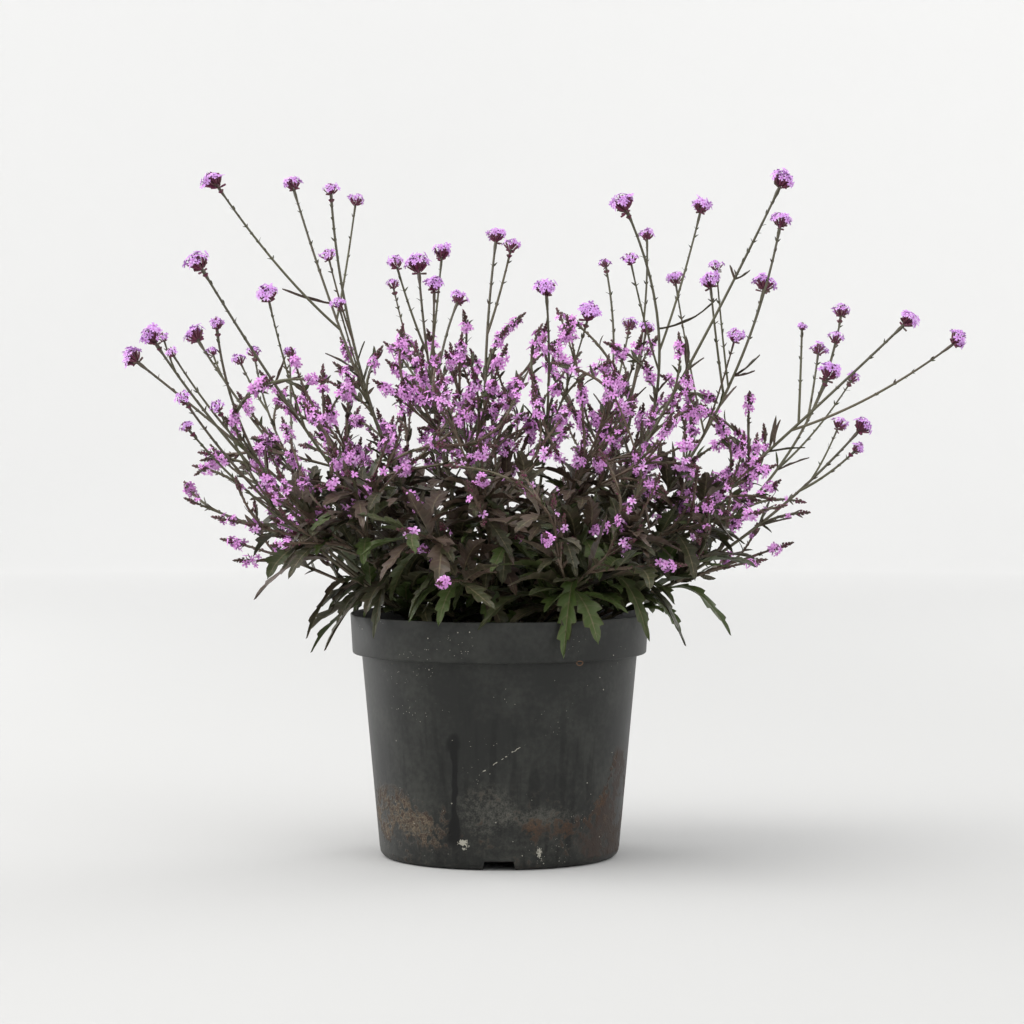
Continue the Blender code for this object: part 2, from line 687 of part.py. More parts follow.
def pot_inside(gap=0.0):
    """The room inside the pot's wall, up to the ledge under its collar, then up to the rim."""
    slope = (BODY_TOP_RADIUS - BODY_LOW_RADIUS) / (POT_HEIGHT - COLLAR_HEIGHT - CORNER_HEIGHT)
    ledge = POT_HEIGHT - COLLAR_HEIGHT + WALL
    return [
        (FOOT_RADIUS - WALL - gap, WALL + gap),
        (BODY_LOW_RADIUS - WALL - gap, WALL + CORNER_HEIGHT),
        (BODY_TOP_RADIUS + slope * WALL - WALL - gap, ledge + gap),
        (COLLAR_LOW_RADIUS - WALL - gap, ledge + gap),
    ]


def material(name, colour, roughness):
    """A Principled material in one colour."""
    made = bpy.data.materials.new(name)
    made.use_nodes = True
    shader = made.node_tree.nodes["Principled BSDF"]
    shader.inputs["Base Color"].default_value = (*colour, 1.0)
    shader.inputs["Roughness"].default_value = roughness
    return made


def mesh_object(name, shape, collection, finish=None):
    """An object with the mesh of a shape."""
    verts, faces = shape
    mesh = bpy.data.meshes.new(name)
    mesh.from_pydata([tuple(vert) for vert in verts], [], faces)
    if finish:
        mesh.materials.append(finish)
    made = bpy.data.objects.new(name, mesh)
    collection.objects.link(made)
    return made


def cutters(name, shapes):
    """A hidden object of separate closed shapes, for cutting."""
    verts, faces = [], []
    for shape_verts, shape_faces in shapes:
        faces += [tuple(len(verts) + vert for vert in face) for face in shape_faces]
        verts += [tuple(vert) for vert in shape_verts]
    made = mesh_object(name, (verts, faces), bpy.context.scene.collection)
    made.hide_render = True
    made.display_type = "WIRE"
    return made


def cut(target, cutter):
    """Takes a cutter away from a solid."""
    less = target.modifiers.new(f"less {cutter.name}", "BOOLEAN")
    less.operation = "DIFFERENCE"
    less.object = cutter


def fuse(name, shapes, finish):
    """One body from shapes that cross, made by one Boolean union."""
    made = mesh_object(name, shapes[0], bpy.context.scene.collection, finish)
    parts = bpy.data.collections.new(f"{name}_parts")
    for number, shape in enumerate(shapes[1:]):
        mesh_object(f"{name}_part_{number}", shape, parts)
    union = made.modifiers.new("union", "BOOLEAN")
    union.operation = "UNION"
    union.operand_type = "COLLECTION"
    union.collection = parts
    bpy.context.scene.collection.children.link(parts)
    graph = bpy.context.evaluated_depsgraph_get()
    fused = bpy.data.meshes.new_from_object(made.evaluated_get(graph))
    made.modifiers.clear()
    made.data = fused
    for piece in list(parts.objects):
        bpy.data.objects.remove(piece)
    bpy.data.collections.remove(parts)
    return made


def smooth(thing, degrees):
    """Shades an object smooth, with edges sharp above an angle."""
    thing.data.shade_smooth()
    thing.data.set_sharp_from_angle(angle=math.radians(degrees))


def make_pot():
    """The nursery pot: a thin shell with a stepped collar and drain channels under its floor."""
    scene = bpy.context.scene.collection
    turns = [2 * math.pi * number / CHANNELS - math.pi / 2 for number in range(CHANNELS)]
    rim = [(RIM_RADIUS - WALL, POT_HEIGHT + WALL)]
    pot = mesh_object("pot", pot_outside(), scene, material("pot_plastic", (0.035, 0.037, 0.035), 0.55))
    cavity = cutters("pot_cavity", [lathe(pot_inside() + rim)])
    cut(cavity, cutters("channel_housings", [channel_shape(turn, WALL) for turn in turns]))
    cut(pot, cavity)
    cut(pot, cutters("channels", [channel_shape(turn, 0.0) for turn in turns]))
    drains = []
    for turn in turns:
        middle = [DRAIN_AT * math.cos(turn), DRAIN_AT * math.sin(turn)]
        points = [(*middle, CHANNEL_HEIGHT / 2), (*middle, CHANNEL_HEIGHT + 2 * WALL)]
        drains.append(loft(points, [[DRAIN_RADIUS] * 8] * 2, np.array([1.0, 0.0, 0.0])))
    cut(pot, cutters("drains", drains))
    smooth(pot, 35)


def make_soil(stems):
    """The root ball and its crumbly top, which fill the pot, with a hole for each stem."""
    rings = [(share * (RIM_RADIUS - 2 * WALL), SOIL_EDGE + (SOIL_MIDDLE - SOIL_EDGE) * (1 - share))
             for share in (0.7, 0.3)]
    profile = pot_inside(TOUCH_GAP) + [(COLLAR_LOW_RADIUS - WALL, SOIL_EDGE)] + rings
    verts, faces = lathe(profile)
    first = len(pot_inside()) * POT_SIDES
    for number in range(first, len(verts)):
        x, y, z = verts[number]
        lump = math.sin(260 * x + 1.3) * math.sin(310 * y + 0.4) + 0.5 * math.sin(600 * (x + y))
        verts[number] = (x, y, z + SOIL_LUMP * lump / 1.5)
    soil = mesh_object("soil", (verts, faces), bpy.context.scene.collection,
                       material("soil", (0.055, 0.035, 0.025), 0.95))
    turns = [2 * math.pi * number / CHANNELS - math.pi / 2 for number in range(CHANNELS)]
    cut(soil, cutters("soil_channels", [channel_shape(turn, WALL + TOUCH_GAP) for turn in turns]))
    cut(soil, cutters("stem_holes", [stem_hole(stem) for stem in stems]))
    smooth(soil, 50)


def spray_shapes(spray):
    """The closed shapes that a spray is fused from, its stem first."""
    shapes = []
    for number, shoot in enumerate(spray.shoots):
        stretches = 2 if number else 6 if shoot.tip == "head" else 5
        shapes.append(stem_shape(shoot, stretches, whole=number == 0))
        if shoot.tip == "head" and not shoot.own_bloom:
            shapes.append(bloom_shape(shoot, -BLOOM_SUNK))
    return shapes + [leaf_shape(leaf) for leaf in spray.leaves]


def main():
    """Builds the pot, the soil, the sprays and the blooms."""
    for old in list(bpy.data.objects):
        bpy.data.objects.remove(old)
    make_pot()
    sprays = grow_plant()
    make_soil([spray.shoots[0] for spray in sprays])
    foliage = material("foliage", (0.075, 0.065, 0.04), 0.7)
    florets = material("florets", (0.42, 0.19, 0.55), 0.7)
    for spray in sprays:
        smooth(fuse(spray.name, spray_shapes(spray), foliage), 40)
        for number, shoot in enumerate(spray.shoots, 1):
            if shoot.own_bloom:
                shape = bloom_shape(shoot, TOUCH_GAP)
                mesh_object(bloom_name(spray, number), shape, bpy.context.scene.collection, florets)


main()
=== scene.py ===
"""Looks of a verbena in its nursery pot.

Metres, +Z up, the front towards -Y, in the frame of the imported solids. The stems, stalks, heads,
spikes and large leaves grow by the same rule and the same seeded draws as the solids, so that each
fine piece lies where its solid is. More spikes, leaves and bracts are then grown on those stems.
"""

import logging
import math
import random
from collections.abc import Callable, Iterable
from dataclasses import dataclass, field
from enum import Enum

import bpy
import numpy as np
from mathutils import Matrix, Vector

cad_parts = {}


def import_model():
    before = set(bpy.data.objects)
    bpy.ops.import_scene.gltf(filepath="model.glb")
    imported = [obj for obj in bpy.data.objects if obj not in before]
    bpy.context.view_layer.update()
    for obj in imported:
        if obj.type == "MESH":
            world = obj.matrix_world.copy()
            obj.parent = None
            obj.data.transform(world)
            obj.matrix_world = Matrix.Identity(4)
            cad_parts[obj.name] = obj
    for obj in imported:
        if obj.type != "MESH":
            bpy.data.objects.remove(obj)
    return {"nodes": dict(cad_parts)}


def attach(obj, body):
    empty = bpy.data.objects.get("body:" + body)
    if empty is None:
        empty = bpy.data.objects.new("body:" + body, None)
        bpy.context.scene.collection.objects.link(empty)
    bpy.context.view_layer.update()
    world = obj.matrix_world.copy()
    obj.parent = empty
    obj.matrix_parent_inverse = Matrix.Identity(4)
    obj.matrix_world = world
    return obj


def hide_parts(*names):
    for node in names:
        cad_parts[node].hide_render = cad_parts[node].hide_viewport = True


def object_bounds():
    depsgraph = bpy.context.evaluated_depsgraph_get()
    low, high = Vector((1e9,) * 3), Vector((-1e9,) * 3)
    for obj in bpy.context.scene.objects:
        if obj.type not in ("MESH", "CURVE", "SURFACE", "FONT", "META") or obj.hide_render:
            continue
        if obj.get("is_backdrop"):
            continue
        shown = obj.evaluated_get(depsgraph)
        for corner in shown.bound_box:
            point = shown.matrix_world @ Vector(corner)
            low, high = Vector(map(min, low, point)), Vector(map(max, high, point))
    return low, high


MM = 0.001
UP = np.array([0.0, 0.0, 1.0])
GOLDEN_TURN = math.pi * (3 - math.sqrt(5))
FULL_TURN = 2 * math.pi
BODY = "root"

Colour = tuple[float, float, float]
log = logging.getLogger("verbena")


class Slot(Enum):
    """The material slots of the record."""

    POT = "pot_plastic"
    SOIL = "soil"
    FOLIAGE = "foliage"
    FLORETS = "florets"


class Tip(Enum):
    """What a shoot carries at its end."""

    HEAD = "head"
    SPIKE = "spike"


def linear(red: int, green: int, blue: int) -> Colour:
    """A colour from its screen values, from 0 to 255, as linear light."""
    values = (channel / 255 for channel in (red, green, blue))
    return tuple(v / 12.92 if v <= 0.04045 else ((v + 0.055) / 1.055) ** 2.4 for v in values)


@dataclass(frozen=True)
class Value:
    """A number socket of a shader graph, which sums and comparisons can use."""

    graph: "Graph"
    socket: bpy.types.NodeSocket

    def __add__(self, other: "Number") -> "Value":
        """The sum."""
        return self.graph.maths("ADD", self, other)

    def __radd__(self, other: "Number") -> "Value":
        """The sum, with the number first."""
        return self.graph.maths("ADD", other, self)

    def __sub__(self, other: "Number") -> "Value":
        """The difference."""
        return self.graph.maths("SUBTRACT", self, other)

    def __rsub__(self, other: "Number") -> "Value":
        """The difference, taken from a number."""
        return self.graph.maths("SUBTRACT", other, self)

    def __mul__(self, other: "Number") -> "Value":
        """The product."""
        return self.graph.maths("MULTIPLY", self, other)

    def __rmul__(self, other: "Number") -> "Value":
        """The product, with the number first."""
        return self.graph.maths("MULTIPLY", other, self)

    def __truediv__(self, other: "Number") -> "Value":
        """The quotient."""
        return self.graph.maths("DIVIDE", self, other)

    def __pow__(self, other: "Number") -> "Value":
        """The power."""
        return self.graph.maths("POWER", self, other)

    def magnitude(self) -> "Value":
        """The value without its sign."""
        return self.graph.maths("ABSOLUTE", self)

    def fraction(self) -> "Value":
        """What is left above the whole number below."""
        return self.graph.maths("FRACT", self)

    def share(self, low: float, high: float) -> "Value":
        """Where the value lies between low and high, as a number from 0 to 1."""
        sockets = {"Value": self, "From Min": low, "From Max": high}
        return Value(self.graph, self.graph.add("ShaderNodeMapRange", {}, sockets).outputs[0])

    def ramp(self, low: float, high: float) -> "Value":
        """A smooth step from 0 at low to 1 at high. With low above high it falls."""
        settings = {"interpolation_type": "SMOOTHSTEP", "clamp": True}
        flip = low > high
        sockets = {"Value": self, "From Min": min(low, high), "From Max": max(low, high),
                   "To Min": 1.0 if flip else 0.0, "To Max": 0.0 if flip else 1.0}
        return Value(self.graph, self.graph.add("ShaderNodeMapRange", settings, sockets).outputs[0])


Number = Value | float


class Graph:
    """The node tree of one Principled material."""

    def __init__(self, name: str) -> None:
        """Starts a material.

        Args:
            name: The material's name.
        """
        self.material = bpy.data.materials.new(name)
        self.material.use_nodes = True
        self.tree = self.material.node_tree
        self.shader = self.tree.nodes["Principled BSDF"]

    def add(self, kind: str, settings: dict[str, object],
            sockets: dict[str | int, object]) -> bpy.types.Node:
        """Adds a node.

        Args:
            kind: The node's type.
            settings: Its properties, which are set before its sockets.
            sockets: Values or links of its inputs, by name or number.

        Returns:
            The node.
        """
        node = self.tree.nodes.new(kind)
        for name, value in settings.items():
            setattr(node, name, value)
        for name, value in sockets.items():
            self.feed(node.inputs[name], value)
        return node

    def feed(self, socket: bpy.types.NodeSocket, value: object) -> None:
        """Links a socket to a value of the graph, or sets it.

        Args:
            socket: The input.
            value: A graph value, another node's output, a number or a tuple.
        """
        if isinstance(value, Value):
            self.tree.links.new(value.socket, socket)
        elif isinstance(value, bpy.types.NodeSocket):
            self.tree.links.new(value, socket)
        elif isinstance(value, tuple) and socket.type == "RGBA":
            socket.default_value = (*value, 1.0)
        else:
            socket.default_value = value

    def maths(self, operation: str, *values: Number) -> Value:
        """The result of a Math node.

        Args:
            operation: The node's operation.
            values: Its inputs in order.

        Returns:
            The result.
        """
        node = self.add("ShaderNodeMath", {"operation": operation}, dict(enumerate(values)))
        return Value(self, node.outputs[0])

    def mark(self, name: str) -> Value:
        """The value of a piece's own attribute."""
        node = self.add("ShaderNodeAttribute", {"attribute_name": name}, {})
        return Value(self, node.outputs["Fac"])

    def place(self) -> bpy.types.NodeSocket:
        """The object coordinates."""
        return self.add("ShaderNodeTexCoord", {}, {}).outputs["Object"]

    def axes(self) -> tuple[Value, Value, Value]:
        """The object coordinates as three numbers."""
        node = self.add("ShaderNodeSeparateXYZ", {}, {0: self.place()})
        return tuple(Value(self, output) for output in node.outputs)

    def noise(self, scale: float, detail: float = 2.0, stretch: tuple = (1.0, 1.0, 1.0),
              shift: tuple = (0.0, 0.0, 0.0)) -> Value:
        """A cloudy pattern over the object coordinates.

        Args:
            scale: Its lumps to the metre, roughly.
            detail: How many finer layers it has.
            stretch: A factor for each axis.
            shift: Where the pattern is taken from.

        Returns:
            A number round 0.5.
        """
        sockets = {"Vector": self.place(), "Scale": stretch, "Location": shift}
        mapped = self.add("ShaderNodeMapping", {}, sockets).outputs[0]
        sockets = {"Vector": mapped, "Scale": scale, "Detail": detail}
        return Value(self, self.add("ShaderNodeTexNoise", {}, sockets).outputs[0])

    def specks(self, scale: float, size: float) -> Value:
        """Round specks, one in most cells of a grid.

        Args:
            scale: Cells to the metre.
            size: The radius of a speck as a share of a cell.

        Returns:
            1 on a speck and 0 off it.
        """
        node = self.add("ShaderNodeTexVoronoi", {}, {"Vector": self.place(), "Scale": scale})
        return Value(self, node.outputs["Distance"]).ramp(size, size * 0.6)

    def blend(self, first: object, second: object, share: Number) -> bpy.types.NodeSocket:
        """A colour between two.

        Args:
            first: The colour at share 0.
            second: The colour at share 1.
            share: How much of the second.

        Returns:
            The colour.
        """
        sockets = {0: share, 6: first, 7: second}
        return self.add("ShaderNodeMix", {"data_type": "RGBA"}, sockets).outputs[2]

    def relief(self, height: Value, depth: float, strength: float = 1.0) -> None:
        """Feeds a bump from a height to the shader.

        Args:
            height: The height, from 0 to 1.
            depth: What 1 stands for, in metres.
            strength: How much of it shows.
        """
        sockets = {"Height": height, "Distance": depth, "Strength": strength}
        self.feed(self.shader.inputs["Normal"], self.add("ShaderNodeBump", {}, sockets).outputs[0])

    def finish(self, **sockets: object) -> bpy.types.Material:
        """Sets the shader's sockets.

        Args:
            sockets: Values by socket name, with _ for a space.

        Returns:
            The material.
        """
        for name, value in sockets.items():
            self.feed(self.shader.inputs[name.replace("_", " ")], value)
        return self.material


@dataclass(frozen=True)
class LeafFinish:
    """A leaf, from fresh green to purple bronze, with paler veins that run out to its teeth."""

    green: Colour = linear(68, 86, 36)
    olive: Colour = linear(50, 52, 28)
    bronze: Colour = linear(76, 60, 50)
    vein: Colour = linear(122, 112, 86)
    veins: float = 7.0
    vein_slant: float = 0.55
    rib_reach: tuple = (0.11, 0.03)
    vein_reach: tuple = (0.37, 0.49)
    edge_reach: tuple = (0.82, 1.05)
    bronze_from: tuple = (0.45, 0.95)
    relief_depth: float = 0.0007
    roughness: float = 0.42

    def material(self) -> bpy.types.Material:
        """The leaf's material."""
        graph = Graph("leaf")
        tone, along, across = graph.mark("tone"), graph.mark("along"), graph.mark("across")
        side = across.magnitude()
        rib = side.ramp(*self.rib_reach)
        slanted = (along * self.veins - side * self.vein_slant).fraction()
        off_vein = (slanted - 0.5).magnitude()
        branch = off_vein.ramp(*self.vein_reach) * (1 - side * 0.5)
        clouds = graph.noise(90, 2)
        body = graph.blend(self.green, self.olive, tone.ramp(0.0, 0.5))
        bronze = (tone + (clouds - 0.5) * 0.9).ramp(*self.bronze_from)
        body = graph.blend(body, self.bronze, bronze)
        body = graph.blend(body, self.bronze, side.ramp(*self.edge_reach) * 0.6)
        veined = graph.blend(body, self.vein, rib * 0.55 + branch * 0.22)
        graph.relief(off_vein * (1 - side * 0.4), self.relief_depth, 0.8)
        return graph.finish(Base_Color=veined, Roughness=self.roughness + clouds * 0.25)


@dataclass(frozen=True)
class StemFinish:
    """A ribbed stem, olive grey on tall stems and brown purple in the bush."""

    olive: Colour = linear(86, 84, 62)
    brown: Colour = linear(96, 80, 66)
    dark: Colour = linear(52, 44, 36)
    brown_from: tuple = (0.2, 0.8)
    roughness: float = 0.62

    def material(self) -> bpy.types.Material:
        """The stem's material."""
        graph = Graph("stem")
        tone, along, across = graph.mark("tone"), graph.mark("along"), graph.mark("across")
        clouds = graph.noise(60, 2)
        brown = (tone + (clouds - 0.5) * 0.8).ramp(*self.brown_from)
        body = graph.blend(self.olive, self.brown, brown)
        body = graph.blend(body, self.dark, along.ramp(0.55, 1.0) * 0.5)
        body = graph.blend(body, self.dark, across.ramp(0.45, 0.0) * 0.6)
        return graph.finish(Base_Color=body, Roughness=self.roughness)


@dataclass(frozen=True)
class CalyxFinish:
    """Calyces and buds, dark maroon with browner and greener ones among them."""

    maroon: Colour = linear(108, 44, 72)
    brown: Colour = linear(86, 64, 58)
    green: Colour = linear(98, 88, 62)
    roughness: float = 0.6

    def material(self) -> bpy.types.Material:
        """The material of calyces and buds."""
        graph = Graph("calyx")
        tone, along = graph.mark("tone"), graph.mark("along")
        body = graph.blend(self.maroon, self.brown, tone.ramp(0.1, 0.6))
        body = graph.blend(body, self.green, tone.ramp(0.6, 1.0) * (1 - along * 0.7))
        body = graph.blend(body, self.maroon, along.ramp(0.55, 1.0) * tone.ramp(0.7, 0.2) * 0.7)
        return graph.finish(Base_Color=body, Roughness=self.roughness)


@dataclass(frozen=True)
class FloretFinish:
    """Petals, lilac on the heads and pinker on the spikes, with a pale rim and a dark throat that
    is partly their own colour and partly painted shade in the floret's opening.
    """

    lilac: Colour = linear(206, 152, 228)
    pink: Colour = linear(226, 150, 222)
    pale: Colour = linear(238, 204, 243)
    throat: Colour = linear(160, 84, 154)
    throat_reach: tuple = (0.0, 0.36)
    roughness: float = 0.6

    def material(self) -> bpy.types.Material:
        """The petals' material."""
        graph = Graph("floret")
        tone, along, across = graph.mark("tone"), graph.mark("along"), graph.mark("across")
        body = graph.blend(self.lilac, self.pink, across)
        body = graph.blend(body, self.pale, tone.ramp(0.35, 1.0) * along.ramp(0.2, 1.0) * 0.8)
        # The dark throat is partly the floret's own colour and partly painted shade in its opening.
        body = graph.blend(self.throat, body, along.ramp(*self.throat_reach))
        return graph.finish(Base_Color=body, Roughness=self.roughness)


@dataclass(frozen=True)
class SoilFinish:
    """Damp peat, dark brown with redder and paler crumbs."""

    dark: Colour = linear(38, 28, 24)
    red: Colour = linear(76, 50, 38)
    pale: Colour = linear(120, 98, 76)
    cloud_scale: float = 140
    grain_scale: float = 900
    relief_depth: float = 0.002

    def material(self) -> bpy.types.Material:
        """The soil's material."""
        graph = Graph("peat")
        clouds, grain = graph.noise(self.cloud_scale, 4), graph.noise(self.grain_scale, 3)
        body = graph.blend(self.dark, self.red, (clouds + grain - 0.5).ramp(0.35, 0.75))
        body = graph.blend(body, self.pale, grain.ramp(0.66, 0.78) * 0.6)
        graph.relief(clouds * 0.5 + grain, self.relief_depth, 0.9)
        return graph.finish(Base_Color=body, Roughness=0.95)


@dataclass(frozen=True)
class Patch:
    """Where a mark lies on the pot's front, and how far it reaches, in millimetres."""

    x: float
    z: float
    reach_x: float
    reach_z: float

    def mask(self, graph: Graph, x: Value, z: Value) -> Value:
        """A soft round mask, 1 in the middle and 0 past the reach."""
        across = (x - self.x * MM) / (self.reach_x * MM)
        up = (z - self.z * MM) / (self.reach_z * MM)
        return (across * across + up * up).ramp(1.0, 0.1)


@dataclass(frozen=True)
class PotFinish:
    """Charcoal plastic with dust, scratches, a dark drip and dried soil round its foot."""

    plastic: Colour = linear(34, 35, 33)
    worn: Colour = linear(62, 63, 59)
    dust: Colour = linear(190, 186, 172)
    drip: Colour = linear(9, 9, 9)
    tan: Colour = linear(138, 124, 104)
    mud: Colour = linear(62, 50, 44)
    rust: Colour = linear(104, 76, 54)
    drip_x: float = -0.0275
    drip_top: float = 0.082
    drip_widths: tuple = (0.0021, 0.0042)
    cloud_scale: float = 28
    fine_scale: float = 300
    grain_scale: float = 1100
    streak_scale: float = 170
    broken_scale: float = 62
    small_specks: tuple = (460, 0.15)
    large_specks: tuple = (150, 0.09)
    stain_top: tuple = (0.078, 0.058)
    tan_top: tuple = (0.056, 0.040)
    band_width: float = 0.010
    scratch_width: float = 0.0005
    scratch_half: float = 0.016
    relief_depth: float = 0.0007
    rust_curve: tuple = (0.019, 0.025, 1.7e6)
    scratch: tuple = (0.0047, 0.0718, 0.66)
    haze: tuple = (Patch(-8, 38, 22, 20), Patch(26, 33, 30, 8))
    tan_patches: tuple = (Patch(-68, 30, 22, 22), Patch(-42, 24, 20, 15))
    speck_patches: tuple = (Patch(-56, 124, 24, 16), Patch(-46, 98, 22, 14), Patch(8, 110, 26, 14),
                            Patch(24, 12, 34, 14))
    flecks: tuple = (Patch(-22, 17, 4.4, 4.0), Patch(25, 10, 1.8, 6.4))
    rust_dot: Patch = Patch(49.8, 128.5, 2.6, 2.2)

    def most(self, graph: Graph, x: Value, z: Value, patches: tuple) -> Value:
        """The sum of patches' masks."""
        masks = [patch.mask(graph, x, z) for patch in patches]
        return sum(masks[1:], masks[0])

    def drip_mask(self, graph: Graph, x: Value, z: Value) -> Value:
        """The dark drip: a blot, a wavy line below it and a wider pool at its foot."""
        wavy = x + (graph.noise(90, 3) - 0.5) * 0.005
        narrow, wider = self.drip_widths
        width = narrow + z.ramp(0.040, 0.020) * wider
        line = ((wavy - self.drip_x) / width).magnitude().ramp(1.0, 0.5)
        line = line * z.ramp(self.drip_top, self.drip_top - 0.008) * z.ramp(0.012, 0.020)
        blot = Patch(self.drip_x / MM - 0.5, 79.5, 6.0, 8.0).mask(graph, wavy, z)
        return (line + blot * 0.8).ramp(0.0, 1.0)

    def material(self) -> bpy.types.Material:
        """The plastic's material."""
        graph = Graph("nursery_plastic")
        x, y, z = graph.axes()
        front = y.ramp(0.0, -0.02)
        clouds, fine = graph.noise(self.cloud_scale, 3), graph.noise(self.fine_scale, 3)
        grain = graph.noise(self.grain_scale, 2)
        body = graph.blend(self.plastic, self.worn, (clouds + fine * 0.5).ramp(0.62, 1.1) * 0.6)
        streaks = graph.noise(self.streak_scale, 2, (1.0, 1.0, 0.07))
        body = graph.blend(body, self.drip, streaks.ramp(0.5, 0.68) * z.ramp(0.135, 0.05) * 0.5)
        low = z.ramp(0.075, 0.012)
        haze = self.most(graph, x, z, self.haze) * front + low * 0.3
        dusty = (clouds * 0.3 + fine * 0.5 + grain * 0.45).ramp(0.5, 0.85)
        body = graph.blend(body, self.dust, haze * dusty * 0.11)
        broken = graph.noise(self.broken_scale, 5, shift=(3.1, 0.4, 1.7)) + (fine - 0.5) * 0.5
        left = self.most(graph, x, z, self.tan_patches) * front
        back = graph.noise(24, 3, shift=(0.3, 5.2, 0.0)).ramp(0.42, 0.66) * z.ramp(0.05, 0.012)
        torn = broken * 0.6 + fine * 0.4
        tan = (torn + left * 0.18 + back * (1 - front) * 0.16).ramp(0.56, 0.74)
        tan = tan * z.ramp(*self.tan_top)
        middle, lowest, curve = self.rust_curve
        level = lowest + (x - middle) ** 6 * curve
        band = ((z - level) / self.band_width).magnitude().ramp(1.1, 0.1)
        band = band * x.ramp(0.010, 0.026) * front
        below_top = z.ramp(*self.stain_top)
        rust = (torn + band * 0.16).ramp(0.56, 0.72) * band.ramp(0.0, 0.4) * below_top
        under = (level - z).ramp(0.0, 0.008) * x.ramp(0.044, 0.060) * front * z.ramp(0.002, 0.008)
        under = under * below_top
        mud = (broken + under * 0.1).ramp(0.46, 0.60) * (under + left * 0.6).ramp(0.0, 0.6)
        body = graph.blend(body, self.mud, mud * 0.7)
        speckle = (grain * 0.5 + fine * 0.8).ramp(0.50, 0.80)
        body = graph.blend(body, graph.blend(self.tan, self.mud, speckle), tan * 0.66)
        body = graph.blend(body, graph.blend(self.rust, self.mud, speckle), rust * 0.62)
        body = graph.blend(body, self.drip, self.drip_mask(graph, x, z) * front * 0.95)
        dot = self.rust_dot.mask(graph, x, z)
        body = graph.blend(body, self.rust, dot.ramp(0.0, 0.4) * dot.ramp(1.0, 0.7) * front)
        spread = self.most(graph, x, z, self.speck_patches) * front
        here = graph.noise(34, 2, shift=(1.7, 2.2, 0.6)) + spread * 0.15
        small = (graph.specks(*self.small_specks) * here).ramp(0.56, 0.66)
        here = graph.noise(45, 1, shift=(8.0, 0.0, 3.0)) + low * 0.1
        large = (graph.specks(*self.large_specks) * here).ramp(0.50, 0.58)
        ragged = x + (grain - 0.5) * 0.007, z + (fine - 0.5) * 0.010
        spots = self.most(graph, *ragged, self.flecks) * (fine + 0.4) * front
        scratch_x, scratch_z, slope = self.scratch
        off_line = (z - scratch_z) - (x - scratch_x) * slope + (fine - 0.5) * 0.003
        line = (off_line / self.scratch_width).magnitude().ramp(1.0, 0.3) * front
        along = ((x - scratch_x) / self.scratch_half).magnitude().ramp(1.0, 0.9)
        scratch = line * along * graph.noise(520, 2).ramp(0.50, 0.60)
        marks = (small + large + spots.ramp(0.55, 0.75) + scratch).ramp(0.0, 1.0)
        body = graph.blend(body, self.dust, marks * 0.75)
        crust = (tan + rust + mud * 0.5 + marks).ramp(0.0, 1.0)
        height = clouds * 0.4 + fine * 0.12 + crust * (0.4 + grain * 0.5)
        graph.relief(height, self.relief_depth, 0.5)
        rough = 0.40 + clouds * 0.14 + crust * 0.4
        return graph.finish(Base_Color=body, Roughness=rough, Specular_IOR_Level=0.28)


@dataclass
class Skin:
    """A closed surface, with three marks at each point that its finish reads.

    The marks are tone, which varies from piece to piece, along, from root to tip, and across.
    """

    points: np.ndarray
    quads: np.ndarray
    tris: np.ndarray
    marks: np.ndarray

    @staticmethod
    def joined(skins: Iterable["Skin"]) -> "Skin":
        """One skin from several, one after another."""
        skins = list(skins)
        starts = np.cumsum([0] + [len(skin.points) for skin in skins[:-1]])
        return Skin(
            np.concatenate([skin.points for skin in skins]),
            np.concatenate([skin.quads + start for skin, start in zip(skins, starts)]),
            np.concatenate([skin.tris + start for skin, start in zip(skins, starts)]),
            np.concatenate([skin.marks for skin in skins]),
        )

    def mesh(self, name: str, sharp: float) -> bpy.types.Mesh:
        """The skin as a mesh.

        Args:
            name: The mesh's name.
            sharp: The angle in degrees past which an edge is sharp.

        Returns:
            The mesh, with its marks as attributes.
        """
        mesh = bpy.data.meshes.new(name)
        mesh.vertices.add(len(self.points))
        mesh.vertices.foreach_set("co", self.points.astype(np.float32).ravel())
        corners = np.concatenate([self.quads.ravel(), self.tris.ravel()])
        mesh.loops.add(len(corners))
        mesh.loops.foreach_set("vertex_index", corners.astype(np.int32))
        quad_starts = np.arange(len(self.quads)) * 4
        tri_starts = self.quads.size + np.arange(len(self.tris)) * 3
        mesh.polygons.add(len(self.quads) + len(self.tris))
        starts = np.concatenate([quad_starts, tri_starts]).astype(np.int32)
        mesh.polygons.foreach_set("loop_start", starts)
        mesh.update(calc_edges=True)
        for column, mark in enumerate(("tone", "along", "across")):
            values = mesh.attributes.new(mark, "FLOAT", "POINT")
            values.data.foreach_set("value", self.marks[:, column].astype(np.float32))
        mesh.shade_smooth()
        mesh.set_sharp_from_angle(angle=math.radians(sharp))
        return mesh


def piece(name: str, skin: Skin, finish: bpy.types.Material, sharp: float = 60,
          stands_for: tuple[str, ...] = ()) -> bpy.types.Object:
    """A finished piece that rides on the body.

    Args:
        name: Its name.
        skin: Its surface.
        finish: Its material.
        sharp: The angle in degrees past which its edges are sharp.
        stands_for: The solids that it replaces.

    Returns:
        The piece.
    """
    made = bpy.data.objects.new(name, skin.mesh(name, sharp))
    made.data.materials.append(finish)
    bpy.context.scene.collection.objects.link(made)
    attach(made, BODY)
    if stands_for:
        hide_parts(*stands_for)
    triangles = 2 * len(skin.quads) + len(skin.tris)
    log.info("%s: %d triangles", name, triangles)
    return made


def unit(vectors: np.ndarray) -> np.ndarray:
    """The vectors at length 1."""
    return vectors / np.linalg.norm(vectors, axis=-1, keepdims=True)


